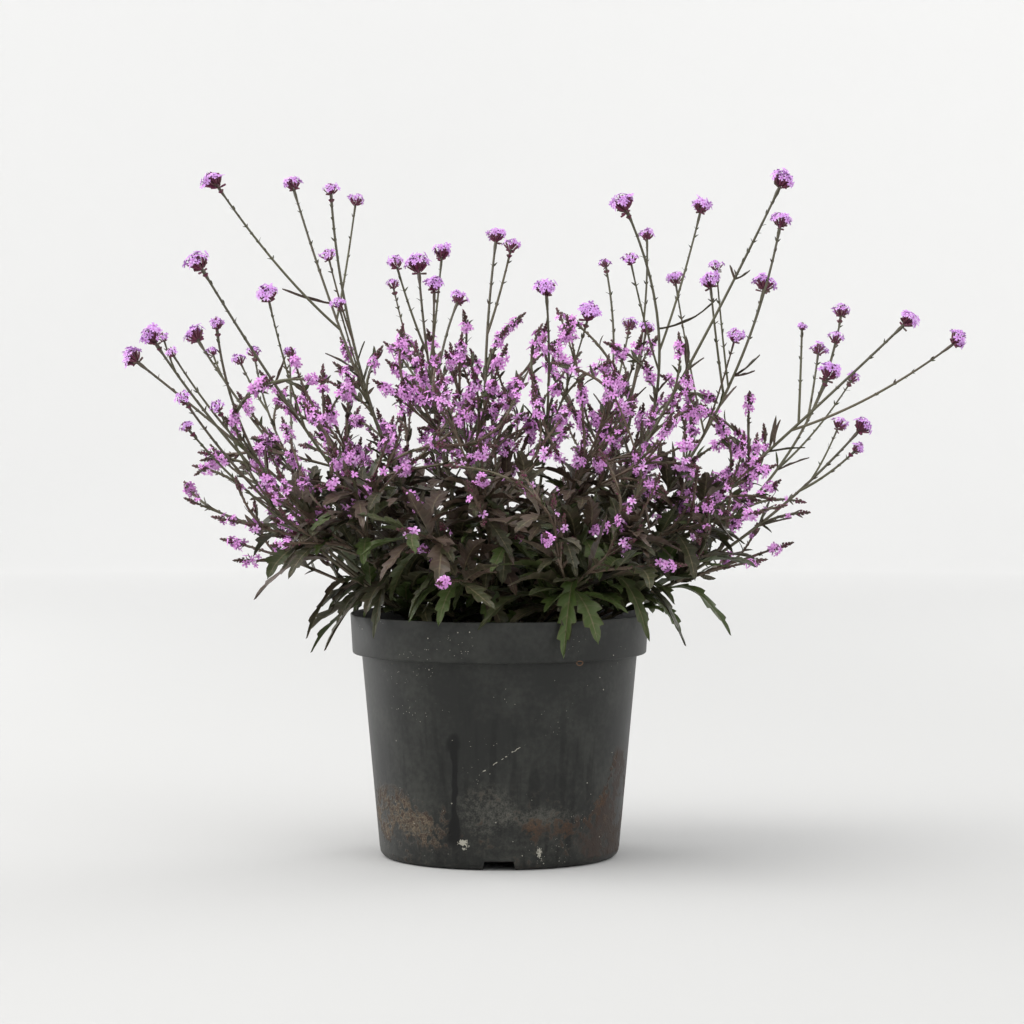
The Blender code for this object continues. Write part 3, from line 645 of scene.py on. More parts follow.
def level_side(course: np.ndarray) -> np.ndarray:
    """A level direction square to a course's chord."""
    chord = course[-1] - course[0]
    flat = np.array([chord[1], -chord[0], 0.0])
    return unit(flat) if np.linalg.norm(flat) > 1e-6 else np.array([1.0, 0.0, 0.0])


def arc_lengths(course: np.ndarray) -> np.ndarray:
    """The distance along a course to each of its points."""
    return np.concatenate([[0.0], np.cumsum(np.linalg.norm(np.diff(course, axis=0), axis=1))])


def at_distances(course: np.ndarray, distances: np.ndarray) -> np.ndarray:
    """The points of a course at distances from its start."""
    run = arc_lengths(course)
    return np.stack([np.interp(distances, run, course[:, axis]) for axis in range(3)], axis=1)


def bend(start: np.ndarray, middle: np.ndarray, end: np.ndarray, count: int = 17) -> np.ndarray:
    """A quadratic curve from start to end, pulled towards middle."""
    t = np.linspace(0, 1, count)[:, None]
    return (1 - t) ** 2 * start + 2 * t * (1 - t) * middle + t**2 * end


def through(start: np.ndarray, knee: np.ndarray, end: np.ndarray, count: int = 25) -> np.ndarray:
    """A parabola through three points, each reached in proportion to the distance run."""
    first = np.linalg.norm(knee - start)
    share = first / (first + np.linalg.norm(end - knee))
    t = np.linspace(0, 1, count)[:, None]
    return (
        start * (t - share) * (t - 1) / share
        + knee * t * (t - 1) / (share * (share - 1))
        + end * t * (t - share) / (1 - share)
    )


def rod_distances(start: np.ndarray, end: np.ndarray, other_start: np.ndarray,
                  other_end: np.ndarray) -> np.ndarray:
    """The least distance between the middle lines of rods, for whole arrays of them."""
    along, other, between = end - start, other_end - other_start, start - other_start
    a = (along * along).sum(-1) + 1e-18
    e = (other * other).sum(-1) + 1e-18
    b, c, f = (along * other).sum(-1), (along * between).sum(-1), (other * between).sum(-1)
    s = np.clip((b * f - c * e) / np.maximum(a * e - b * b, 1e-18), 0, 1)
    t = np.clip((b * s + f) / e, 0, 1)
    s = np.clip((b * t - c) / a, 0, 1)
    nearest = between + along * s[..., None] - other * t[..., None]
    return np.sqrt((nearest * nearest).sum(-1))


def rods_along(points: np.ndarray, radii: np.ndarray) -> np.ndarray:
    """A rod between each two points, as thick as the thicker end."""
    return np.concatenate([points[:-1], points[1:], np.maximum(radii[:-1], radii[1:])[:, None]], 1)


@dataclass
class Room:
    """The space already taken, as round-ended rods with the number of what they belong to."""

    gap: float = 0.0006
    rods: np.ndarray = field(default_factory=lambda: np.zeros((0, 7)))
    owners: np.ndarray = field(default_factory=lambda: np.zeros(0, int))
    names: list[str] = field(default_factory=list)

    def number_of(self, owner: str) -> int:
        """The number of an owner, new or known."""
        if owner not in self.names:
            self.names.append(owner)
        return self.names.index(owner)

    def add(self, owner: str, rods: np.ndarray) -> None:
        """Notes that an owner takes the space of some rods."""
        self.rods = np.concatenate([self.rods, rods])
        self.owners = np.append(self.owners, np.full(len(rods), self.number_of(owner)))

    def is_clear(self, owner: str, rods: np.ndarray, gap: float | None = None) -> bool:
        """Tells whether rods are clear of all that others own.

        Args:
            owner: Whose rods they are. Rods with the same owner don't count.
            rods: The new rods.
            gap: The least space between, or the usual one.

        Returns:
            True if no rod of another owner comes closer.
        """
        gap = self.gap if gap is None else gap
        margin = rods[:, 6].max() + gap
        low = np.minimum(rods[:, :3], rods[:, 3:6]).min(0) - margin
        high = np.maximum(rods[:, :3], rods[:, 3:6]).max(0) + margin
        reach = self.rods[:, 6:]
        near = (np.minimum(self.rods[:, :3], self.rods[:, 3:6]) - reach < high).all(1)
        near &= (np.maximum(self.rods[:, :3], self.rods[:, 3:6]) + reach > low).all(1)
        others = self.rods[near & (self.owners != self.number_of(owner))]
        if not len(others):
            return True
        new, old = rods[:, None], others[None]
        apart = rod_distances(new[..., :3], new[..., 3:6], old[..., :3], old[..., 3:6])
        return bool((apart - new[..., 6] - old[..., 6] > gap).all())


# Distance of a spike's rings below its tip, and their widest radius
SPIKE_RINGS = ((0.0185, 0.0011), (0.014, 0.0041), (0.0106, 0.0041), (0.0074, 0.0019), (0.0, 0.0))
OWN_BLOOM_WIDTH = 0.0125


@dataclass
class Shoot:
    """A stem or stalk: its course, its radii at both ends and what it carries at its tip.

    Openness is the share of a spike's florets that are open.
    """

    course: np.ndarray
    root_radius: float
    tip_radius: float
    tip: Tip
    width: float = 0.0
    openness: float = 1.0

    @property
    def own_bloom(self) -> bool:
        """Whether its head is a solid of its own."""
        return self.width >= OWN_BLOOM_WIDTH

    @property
    def length(self) -> float:
        """The length of its course."""
        return arc_lengths(self.course)[-1]

    @property
    def axis(self) -> np.ndarray:
        """The direction of its tip."""
        return unit(self.course[-1] - self.course[-3])

    def radius_at(self, distances: np.ndarray) -> np.ndarray:
        """Its radius at distances from its root."""
        return np.interp(distances, [0, self.length], [self.root_radius, self.tip_radius])

    def spot_at(self, share: float) -> tuple[np.ndarray, np.ndarray]:
        """The point at a share of its length, and the direction there."""
        spot, ahead = at_distances(self.course, np.array([share, share + 0.03]) * self.length)
        return spot, unit(ahead - spot)

    def tip_rods(self) -> np.ndarray:
        """The rods round the head or the florets at the tip, a head's dome first."""
        end = self.course[-1]
        if self.tip is Tip.HEAD:
            radius = self.width / 2
            low, high = end - self.axis * 0.05 * radius, end + self.axis * 0.05 * radius
            cup = end - self.axis * radius
            return np.array([[*low, *high, radius * 1.02], [*cup, *low, radius * 0.62]])
        below, radii = np.array(SPIKE_RINGS).T
        return rods_along(at_distances(self.course, self.length - below), radii)

    def stalk_rods(self, count: int = 9) -> np.ndarray:
        """The rods along the stalk."""
        run = np.linspace(0, self.length, count)
        return rods_along(at_distances(self.course, run), self.radius_at(run))

    def rods(self) -> np.ndarray:
        """All its rods."""
        return np.concatenate([self.stalk_rods(), self.tip_rods()])


@dataclass
class Leaf:
    """A toothed blade along a curved course, with the level direction across it."""

    course: np.ndarray
    half_width: float
    teeth: int
    across: np.ndarray

    @staticmethod
    def curved(start: np.ndarray, middle: np.ndarray, end: np.ndarray, half_width: float,
               teeth: int) -> "Leaf":
        """A leaf whose course is one bend."""
        course = bend(start, middle, end, 9)
        return Leaf(course, half_width, teeth, level_side(course))

    def rods(self, lines: tuple[float, ...] = (-0.66, 0.0, 0.66)) -> np.ndarray:
        """Lines of rods that fill the blade's width, at shares of it."""
        shape = np.array([0.25, 0.5, 0.9, 1.0, 1.0, 1.0, 0.8, 0.5, 0.15]) * self.half_width
        made = []
        for share in lines:
            points = self.course + self.across * (shape * share)[:, None]
            made.append(rods_along(points, shape * 0.36 + 0.0005))
        return np.concatenate(made)


@dataclass
class Spray:
    """One leafy stem with its stalks, leaves and heads. Its first shoot is the stem."""

    name: str
    shoots: list[Shoot] = field(default_factory=list)
    leaves: list[Leaf] = field(default_factory=list)
    heading: np.ndarray | None = None

    def bloom_name(self, number: int) -> str:
        """The name of the bloom on its shoot of this number, counted from 1."""
        return self.name.replace("spray", "bloom") + f"_{number}"


# Each tall stem as it stands in the front view, in millimetres. The knee is where it bends and
# branches. Each head is x, y, z and width, and how far up the stem its stalk leaves. The first
# head is the stem's own.
TALL_STEMS = {
    "left_fork": ((-110, 36, 355), (
        (-135, 48, 431, 13, 1), (-184, 20, 432, 15.5, 0.70), (-94, 62, 421, 11, 0.72))),
    "left_inner": ((-98, -14, 354), (
        (-106, -22, 423, 10.5, 1), (-107, -36, 381, 10, 0.70), (-101, -30, 351, 10, 0.42))),
    "left_front": ((-140, -48, 301), ((-186, -64, 376, 16, 1), (-142, -78, 356, 14.5, 0.60))),
    "left_far": ((-180, 20, 272), ((-238, 30, 318, 15, 1),)),
    "left_low": ((-179, -8, 273), ((-221, -12, 331, 16, 1), (-212, -20, 330, 8, 0.90))),
    "left_back": ((-162, 40, 280), ((-200, 66, 333, 15, 1), (-188, 60, 322, 8.5, 0.86))),
    "left_mid": ((-165, -25, 283), ((-176, -34, 338, 10.5, 1), (-203, -44, 320, 8.5, 0.66))),
    "left_rear": ((-144, 60, 264), (
        (-163, 96, 322, 9.5, 1), (-172, 84, 317, 9.5, 0.82), (-140, 108, 322, 8.5, 0.66))),
    "left_short": ((-166, -60, 252), (
        (-194, -82, 292, 10.5, 1), (-172, -92, 287, 9, 0.62), (-193, -70, 274, 9, 0.55))),
    "middle_left": ((-48, 10, 335), (
        (-52, 12, 378, 16.5, 1), (-66, 0, 378, 11.5, 0.78), (-37, 30, 386, 13.5, 0.74),
        (-41, -12, 364, 13.5, 0.70))),
    "middle_rear": ((-40, 66, 310), ((-27, 96, 358, 12, 1), (-71, 84, 367, 10, 0.60))),
    "middle_tall": ((-7, 44, 349), ((-2, 60, 398, 13, 1), (8, 42, 391, 11.5, 0.76))),
    "middle_right": ((31, -44, 309), ((29, -58, 360, 14.5, 1), (56, -66, 345, 15.5, 0.60))),
    "right_rear": ((75, 76, 328), ((70, 100, 381, 8.5, 1), (87, 110, 341, 12, 0.62))),
    "right_fork": ((101, -6, 335), (
        (78, -14, 415, 16, 1), (129, 6, 414, 14, 0.70), (82, -30, 379, 10.5, 0.66))),
    "right_mid": ((89, 36, 312), ((96, 56, 398, 10.5, 1), (95, 30, 337, 10.5, 0.60))),
    "right_tall": ((136, -40, 345), ((176, -54, 427, 16, 1),)),
    "right_many": ((151, 14, 308), (
        (181, 24, 406, 13.5, 1), (172, 40, 366, 15, 0.74), (138, 4, 376, 9.5, 0.66),
        (133, -14, 366, 13.5, 0.64), (113, 30, 369, 11.5, 0.56), (149, -20, 331, 12, 0.55))),
    "right_back": ((206, 56, 287), (
        (226, 84, 349, 12, 1), (221, 66, 331, 10.5, 0.80), (212, 96, 324, 11.5, 0.74),
        (216, 58, 309, 16, 0.66), (234, 84, 305, 9.5, 0.62))),
    "right_far": ((194, -16, 280), (
        (258, -24, 341, 14, 1), (287, -40, 328, 13, 0.68), (192, -6, 337, 6, 0.70))),
    "right_low": ((190, 4, 231), (
        (233, 10, 274, 13, 1), (219, 24, 275, 11, 0.80), (228, -6, 260, 9.5, 0.76))),
}


# Narrow leaves at the knees of tall stems: the root, the pull of the arch, the end, and the width
KNEE_LEAVES = (
    ("left_fork", (-108, 36, 354), (-124, 34, 356), (-139, 34, 363), 5.4),
    ("left_front", (-140, -48, 301), (-136, -50, 308), (-133, -52, 318), 3.0),
    ("left_front", (-140, -48, 301), (-132, -50, 303), (-122, -52, 306), 2.6),
    ("right_fork", (102, -6, 336), (124, -8, 338), (139, -8, 355), 4.0),
    ("right_many", (150, 14, 307), (158, 12, 311), (166, 10, 320), 4.2),
    ("right_many", (150, 14, 307), (157, 12, 307), (163, 10, 310), 3.2),
    ("right_tall", (134, -46, 372), (139, -47, 373), (143, -48, 377), 2.6),
    ("right_tall", (134, -46, 372), (132, -47, 376), (131, -48, 380), 2.4),
    ("right_far", (169, -14, 266), (169, -15, 274), (173, -16, 283), 4.6),
)

# The leaves over the front of the rim: the turn in degrees, the distance from the axis and the
# height of the root, the same of the end, and half the width, all in millimetres
FRONT_LEAVES = (
    ((-122, 62, 172), (-137, 103, 140), 5.0),
    ((-110, 60, 174), (-84, 98, 172), 7.8),
    ((-63, 60, 172), (-97, 104, 151), 5.6),
    ((-74, 62, 172), (-71, 105, 137), 7.8),
    ((-36, 74, 172), (-66, 105, 144), 6.4),
    ((-30, 78, 170), (-33, 110, 139), 6.0),
    ((-142, 74, 170), (-158, 118, 134), 6.4),
    ((-158, 96, 168), (-170, 124, 140), 6.0),
    ((-172, 108, 174), (-176, 156, 164), 6.6),
    ((-14, 108, 168), (-9, 148, 142), 5.6),
)


def around_pot(turn: float, reach: float, height: float) -> np.ndarray:
    """A point at a turn in degrees round the pot, its reach and height in millimetres."""
    angle = math.radians(turn)
    return np.array([reach * math.cos(angle), reach * math.sin(angle), height]) * MM


@dataclass
class Growth:
    """The plant's own shape: where its stems, stalks, heads, spikes and leaves are.

    The first part grows what the solids hold, in the same order and with the same draws. The
    second part, grow_more, adds finer growth on it.
    """

    box: list[list[float]]
    seed: int = 11
    rim_radius: float = 0.095
    pot_height: float = 0.155
    wall: float = 0.0018
    edge: float = 0.0012
    clearance: float = 0.0006
    soil_middle: float = 0.1415
    soil_lump: float = 0.0012
    stem_bottom: float = 0.119
    stem_bend: float = 0.1465
    fan_depth: float = 0.040
    foot_spacing: float = 0.0031
    stem_radius: float = 0.00125
    tip_radius: float = 0.0007
    stalk_radius: float = 0.00085
    stalk_tip_radius: float = 0.0006
    bush_stems: int = 13
    bush_spikes: int = 50
    bush_centre: tuple = (0.0, 0.0, 0.150)
    bush_reach: tuple = (0.205, 0.170, 0.200)
    bush_lowest: float = math.radians(9)
    bush_highest: float = math.radians(84)
    back_leaves: int = 14
    back_turn: float = -8.0
    back_step: float = 14.5
    rim_trials: int = 90
    rim_stray: float = 0.7
    rim_arch_at: float = 0.5
    rim_arch_rise: tuple = (0.010, 0.022)
    rim_leaf_longest: float = 0.076
    more_seed: int = 5
    tall_trials: int = 90
    tall_step: float = 0.004
    tall_steps: int = 9
    foot_stray: float = 0.0011
    stalk_step: float = 0.003
    stalk_sag: float = 0.10
    bush_stray: float = 0.015
    bush_foot_stray: float = 0.0012
    bush_arch: float = 0.012
    spike_stray: float = 0.03
    more_stray: float = 0.05
    stalk_trials: int = 60
    bush_trials: int = 120
    spike_trials: int = 40
    leaf_trials: int = 14
    shortest_spike: float = 0.034
    more_spikes: int = 400
    more_trials: int = 16
    more_longest: float = 0.12
    more_facing: float = 0.64
    tip_thinness: float = 0.55
    blade_thinness: float = 0.3
    spread_reach: float = 0.118
    spread_height: float = 0.178
    more_reach: tuple = (0.216, 0.150, 0.200)
    more_squareness: float = 2.6
    more_lowest: float = math.radians(20)
    bare_front: float = 0.78
    bare_share: float = 0.80
    skipped_share: float = 0.22
    bare_openness: float = 0.12
    low_heights: tuple = (0.148, 0.172)
    low_furthest: float = 0.095
    middle_heights: tuple = (0.175, 0.240)
    middle_furthest: float = 0.10
    crown_heights: tuple = (0.154, 0.235)
    crown_furthest: float = 0.13
    spike_heights: tuple = (0.165, 0.31)
    low_leaves: int = 150
    low_stretch: float = 1.45
    middle_leaves: int = 200
    crown_leaves: int = 500
    spread_leaves: float = 0.12
    box_margin: float = 0.0075

    def __post_init__(self) -> None:
        """Grows the plant."""
        self.room = Room(self.clearance)
        rng = random.Random(self.seed)
        tall = [self.grow_tall(f"spray_{name}", *stem) for name, stem in TALL_STEMS.items()]
        bush = self.grow_bush(rng)
        self.grow_rim_leaves(tall + bush, rng)
        for spray in bush:
            self.grow_leaves(spray, rng, (0.22, 0.34), 0.060, 2)
        for spray in tall:
            self.grow_leaves(spray, rng, (0.28,), 0.050, 2)
        self.tall, self.bush = tall, bush
        self.sprays = tall + bush

    def clears_pot(self, rods: np.ndarray) -> bool:
        """True if the rods stay above the soil, above the rim or outside the collar."""
        steps = np.linspace(0, 1, 7)[None, :, None]
        points = rods[:, None, :3] * (1 - steps) + rods[:, None, 3:6] * steps
        radius = rods[:, None, 6]
        out = np.hypot(points[..., 0], points[..., 1])
        low = points[..., 2] - radius
        inside = out + radius < self.rim_radius - 2 * self.wall - self.edge
        inside &= low > self.soil_middle + 2 * self.soil_lump
        above = low > self.pot_height + self.clearance
        outside = (out - radius > self.rim_radius + self.clearance) & (low > 0.1)
        return bool((inside | above | outside).all())

    def foot_of(self, knee: np.ndarray) -> np.ndarray:
        """Where a stem leaves the soil, on the line from its knee to a point below the crown."""
        share = self.fan_depth / (knee[2] - self.soil_middle + self.fan_depth)
        return np.array([knee[0] * share, knee[1] * share, self.stem_bend])

    def whole_stem(self, foot: np.ndarray, course: np.ndarray) -> np.ndarray:
        """The course with the upright stretch that stands in the soil put before it."""
        return np.concatenate([[np.array([foot[0], foot[1], self.stem_bottom])], course])

    def foot_rods(self, foot: np.ndarray) -> np.ndarray:
        """The space round a stem's buried stretch."""
        return np.array([[foot[0], foot[1], self.stem_bottom, *foot, self.foot_spacing]])

    def fits(self, spray: Spray, shoot: Shoot, more: tuple[np.ndarray, ...] = ()) -> bool:
        """True if a shoot, with more rods, is clear, and its bloom is clear of its own spray."""
        rods = np.concatenate([shoot.rods(), *more])
        return self.room.is_clear(spray.name, rods) and (
            not shoot.own_bloom or self.room.is_clear("new bloom", shoot.tip_rods()[:1])
        )

    def take_room(self, spray: Spray, shoot: Shoot) -> None:
        """Adds a shoot to its spray and notes its space, a bloom of its own under its own name."""
        spray.shoots.append(shoot)
        if shoot.own_bloom:
            rods = np.concatenate([shoot.stalk_rods(), shoot.tip_rods()[1:]])
            self.room.add(spray.name, rods)
            self.room.add(spray.bloom_name(len(spray.shoots)), shoot.tip_rods()[:1])
        else:
            self.room.add(spray.name, shoot.rods())

    def grow_tall(self, name: str, knee_mm: tuple, heads: tuple) -> Spray:
        """A tall spray. It moves in depth and at its foot until it is clear of the others.

        Args:
            name: The spray's name.
            knee_mm: Where its stem bends, in millimetres.
            heads: Its heads, as TALL_STEMS gives them.

        Returns:
            The spray.
        """
        spray = Spray(name)
        knee = np.array(knee_mm) * MM
        main = np.array(heads[0][:3]) * MM
        width = heads[0][3] * MM
        for trial in range(self.tall_trials):
            depth = self.tall_step * ((trial + 1) // 2 % self.tall_steps) * (-1) ** trial
            turn = trial * GOLDEN_TURN
            shift = np.array([0.0, depth, 0.0])
            aside = np.array([math.cos(turn), math.sin(turn), 0])
            foot = self.foot_of(knee) + self.foot_stray * math.sqrt(trial) * aside
            course = self.whole_stem(foot, through(foot, knee + 0.7 * shift, main + shift))
            shoot = Shoot(course, self.stem_radius, self.tip_radius, Tip.HEAD, width)
            if self.fits(spray, shoot, (self.foot_rods(foot),)):
                break
        self.room.add(name, self.foot_rods(foot))
        self.take_room(spray, shoot)
        for x, y, z, head_width, share in heads[1:]:
            end = np.array([x, y, z]) * MM + shift
            start = at_distances(course, [share * shoot.length])[0]
            for trial in range(self.stalk_trials):
                depth = self.stalk_step * ((trial + 1) // 2) * (-1) ** trial
                tip = end + np.array([0.0, depth, 0.0])
                reach = np.linalg.norm(tip - start)
                middle = (start + tip) / 2 - UP * self.stalk_sag * reach
                stalk = Shoot(bend(start, middle, tip), self.stalk_radius, self.stalk_tip_radius,
                              Tip.HEAD, head_width * MM)
                if self.fits(spray, stalk):
                    self.take_room(spray, stalk)
                    break
        return spray

    def fan_directions(self, count: int, turn: float, lowest: float | None = None) -> np.ndarray:
        """Directions spread evenly over the sky between two heights.

        Args:
            count: How many.
            turn: The first one's turn.
            lowest: The least height as an angle, or the bush's own.

        Returns:
            The directions, lowest first.
        """
        low = self.bush_lowest if lowest is None else lowest
        heights = np.linspace(math.sin(low), math.sin(self.bush_highest), count * 2 + 1)[1::2]
        turns = turn + GOLDEN_TURN * np.arange(count)
        flat = np.sqrt(1 - heights**2)
        return np.stack([flat * np.cos(turns), flat * np.sin(turns), heights], axis=1)

    def wandered(self, direction: np.ndarray, stray: float, trial: int,
                 rng: random.Random) -> np.ndarray:
        """A direction turned aside by draws, further with each trial."""
        draws = np.array([rng.uniform(-1, 1) for _ in range(3)])
        return unit(direction + stray * math.sqrt(trial) * draws)

    def grow_bush(self, rng: random.Random) -> list[Spray]:
        """The short sprays: a stem for each main direction, and spikes shared out to the nearest.

        Args:
            rng: The draws that the solids use.

        Returns:
            The sprays.
        """
        centre, reach = np.array(self.bush_centre), np.array(self.bush_reach)
        sprays = []
        for number, direction in enumerate(self.fan_directions(self.bush_stems, 0.4), 1):
            spray = Spray(f"spray_bush_{number:02d}")
            for trial in range(self.bush_trials):
                heading = self.wandered(direction, self.bush_stray, trial, rng)
                tip = centre + heading * reach * rng.uniform(0.9, 1.0)
                foot = self.foot_of(centre + heading * reach * 0.5)
                aside = np.array([rng.uniform(-1, 1), rng.uniform(-1, 1)])
                foot[:2] += self.bush_foot_stray * math.sqrt(trial) * aside
                middle = (foot + tip) / 2 + UP * self.bush_arch
                course = self.whole_stem(foot, bend(foot, middle, tip, 21))
                shoot = Shoot(course, self.stem_radius, self.tip_radius, Tip.SPIKE)
                clear = self.fits(spray, shoot, (self.foot_rods(foot),))
                if clear and self.clears_pot(shoot.rods()[2:]):
                    self.room.add(spray.name, self.foot_rods(foot))
                    self.take_room(spray, shoot)
                    spray.heading = heading
                    sprays.append(spray)
                    break
        headings = np.array([spray.heading for spray in sprays])
        for direction in self.fan_directions(self.bush_spikes, 2.1):
            for trial in range(self.spike_trials):
                heading = self.wandered(direction, self.spike_stray, trial, rng)
                spray = sprays[int(np.argmax(headings @ heading))]
                stem = spray.shoots[0]
                tip = centre + heading * reach * rng.uniform(0.78, 1.0)
                aside = np.linalg.norm(tip - stem.course[-1])
                share = np.clip(1 - 1.25 * aside / stem.length, 0.32, 0.88) - rng.uniform(0, 0.06)
                start = at_distances(stem.course, [share * stem.length])[0]
                ahead = at_distances(stem.course, [(share + 0.04) * stem.length])[0]
                length = np.linalg.norm(tip - start)
                if length < self.shortest_spike:
                    continue
                middle = start + (tip - start) * 0.42 + unit(ahead - start) * length * 0.08
                stalk = Shoot(bend(start, middle, tip), self.stalk_radius, self.stalk_tip_radius,
                              Tip.SPIKE)
                if self.fits(spray, stalk) and self.clears_pot(stalk.rods()):
                    self.take_room(spray, stalk)
                    break
        return sprays

    def grow_rim_leaves(self, sprays: list[Spray], rng: random.Random) -> None:
        """Leaves that droop over the rim: those of the front view, then others round the back.

        Args:
            sprays: All sprays.
            rng: The draws that the solids use.
        """
        spots = [
            (spray, spot)
            for spray in sprays
            for spot in at_distances(spray.shoots[0].course, np.arange(0.034, 0.15, 0.004))
        ]
        for plan in FRONT_LEAVES:
            self.grow_rim_leaf(spots, rng, lambda: plan)
        for number in range(self.back_leaves):
            turn = self.back_turn + self.back_step * number
            self.grow_rim_leaf(spots, rng, lambda: self.back_leaf_plan(turn, rng))

    def back_leaf_plan(self, turn: float, rng: random.Random) -> tuple:
        """A drawn plan for a rim leaf near a turn, in the units of FRONT_LEAVES."""
        turn += rng.uniform(-0.5, 0.5) * self.back_step
        reach = rng.uniform(52, 84)
        rise = rng.uniform(166, 180)
        end_turn = turn + rng.uniform(-26, 26)
        end_reach = max(reach + rng.uniform(26, 44), 103)
        end = end_turn, end_reach, rng.uniform(136, 158)
        return (turn, reach, rise), end, rng.uniform(5.2, 7.8)

    def grow_rim_leaf(self, spots: list, rng: random.Random,
                      make_plan: Callable[[], tuple]) -> None:
        """Grows one rim leaf from the stem that passes nearest to its root, or from one near it.

        Args:
            spots: Sprays and points on their stems.
            rng: The draws that the solids use.
            make_plan: Gives the leaf's plan, in the units of FRONT_LEAVES.
        """
        for trial in range(self.rim_trials):
            (turn, reach, rise), (end_turn, end_reach, end_rise), half_width = make_plan()
            stray = self.rim_stray * math.sqrt(trial)
            root_wish = around_pot(turn, reach, rise)
            nearest = sorted(spots, key=lambda pair: np.linalg.norm(pair[1] - root_wish))
            spray, root = nearest[int(rng.uniform(0, 2 + trial))]
            end = around_pot(end_turn + stray * rng.uniform(-1, 1), end_reach, end_rise)
            end = end + UP * stray * MM * rng.uniform(-1, 1)
            arch = root + (end - root) * self.rim_arch_at
            arch[2] = max(root[2], end[2], self.pot_height) + rng.uniform(*self.rim_arch_rise)
            leaf = Leaf.curved(root, arch, end, half_width * MM, 3)
            if arc_lengths(leaf.course)[-1] > self.rim_leaf_longest:
                continue
            if self.take_leaf(spray, leaf):
                break

    def take_leaf(self, spray: Spray, leaf: Leaf) -> bool:
        """Adds a leaf to its spray if it is clear of all else, and tells whether it is."""
        rods = leaf.rods()
        clear = self.room.is_clear(spray.name, rods) and self.clears_pot(rods)
        if clear:
            self.room.add(spray.name, rods)
            spray.leaves.append(leaf)
        return clear

    def grow_leaves(self, spray: Spray, rng: random.Random, shares: tuple[float, ...],
                    longest: float, teeth: int) -> None:
        """Opposite pairs of leaves at shares of the main stem, each pair square to the last.

        Args:
            spray: The spray that gets them.
            rng: The draws that the solids use.
            shares: Where the pairs stand, as shares of the stem's length.
            longest: The length of the lowest leaves.
            teeth: The teeth that the solids have on each side.
        """
        stem = spray.shoots[0]
        for number, share in enumerate(shares):
            spot, along = stem.spot_at(share)
            level = level_side(stem.course)
            other = unit(np.cross(along, level))
            for side in (1, -1):
                for trial in range(self.leaf_trials):
                    turn = number * math.pi / 2 + rng.uniform(-0.2, 0.2) * (1 + trial)
                    outward = side * (level * math.cos(turn) + other * math.sin(turn))
                    length = longest * (1 - 0.55 * share) * rng.uniform(0.8, 1.05)
                    middle = spot + length * (0.42 * outward + 0.26 * along)
                    end = spot + length * (0.82 * outward + 0.24 * along) - UP * length * 0.18
                    leaf = Leaf.curved(spot, middle, end, length * rng.uniform(0.11, 0.15), teeth)
                    if self.take_leaf(spray, leaf):
                        break

    def boxed(self, points: np.ndarray, margin: float) -> np.ndarray:
        """The points, drawn into the solids' box less a margin."""
        low, high = np.array(self.box)
        return np.clip(points, low + margin, high - margin)

    def in_box(self, points: np.ndarray) -> bool:
        """True if points lie inside the solids' box with a margin."""
        low, high = np.array(self.box)
        margin = self.box_margin
        return bool(((points > low + margin) & (points < high - margin)).all())

    def grow_more(self) -> None:
        """Adds the spikes, crown leaves and stem leaves that only the looks have."""
        rng = random.Random(self.more_seed)
        self.grow_knee_leaves()
        self.grow_more_spikes(rng)
        self.grow_crown_leaves(rng, self.low_leaves, self.low_heights, self.low_furthest,
                               self.low_stretch)
        self.grow_crown_leaves(rng, self.middle_leaves, self.middle_heights, self.middle_furthest)
        self.grow_crown_leaves(rng, self.crown_leaves, self.crown_heights, self.crown_furthest)
        self.grow_stem_leaves(rng)

    def anchors(self, sprays: list[Spray], lowest: float, highest: float) -> tuple:
        """Points along shoots that something can grow from.

        Args:
            sprays: The sprays whose shoots count.
            lowest: The least height of a point.
            highest: The greatest.

        Returns:
            The points, the directions of their shoots there, and the number of each one's spray.
        """
        points, ways, owners = [], [], []
        for number, spray in enumerate(sprays):
            for shoot in spray.shoots:
                run = np.arange(0.012, max(shoot.length * 0.86, 0.013), 0.006)
                spots = at_distances(shoot.course, run)
                ahead = at_distances(shoot.course, run + 0.004)
                points.append(spots)
                ways.append(unit(ahead - spots))
                owners.append(np.full(len(run), number))
        points, ways, owners = np.concatenate(points), np.concatenate(ways), np.concatenate(owners)
        keep = (points[:, 2] > lowest) & (points[:, 2] < highest)
        return points[keep], ways[keep], owners[keep]

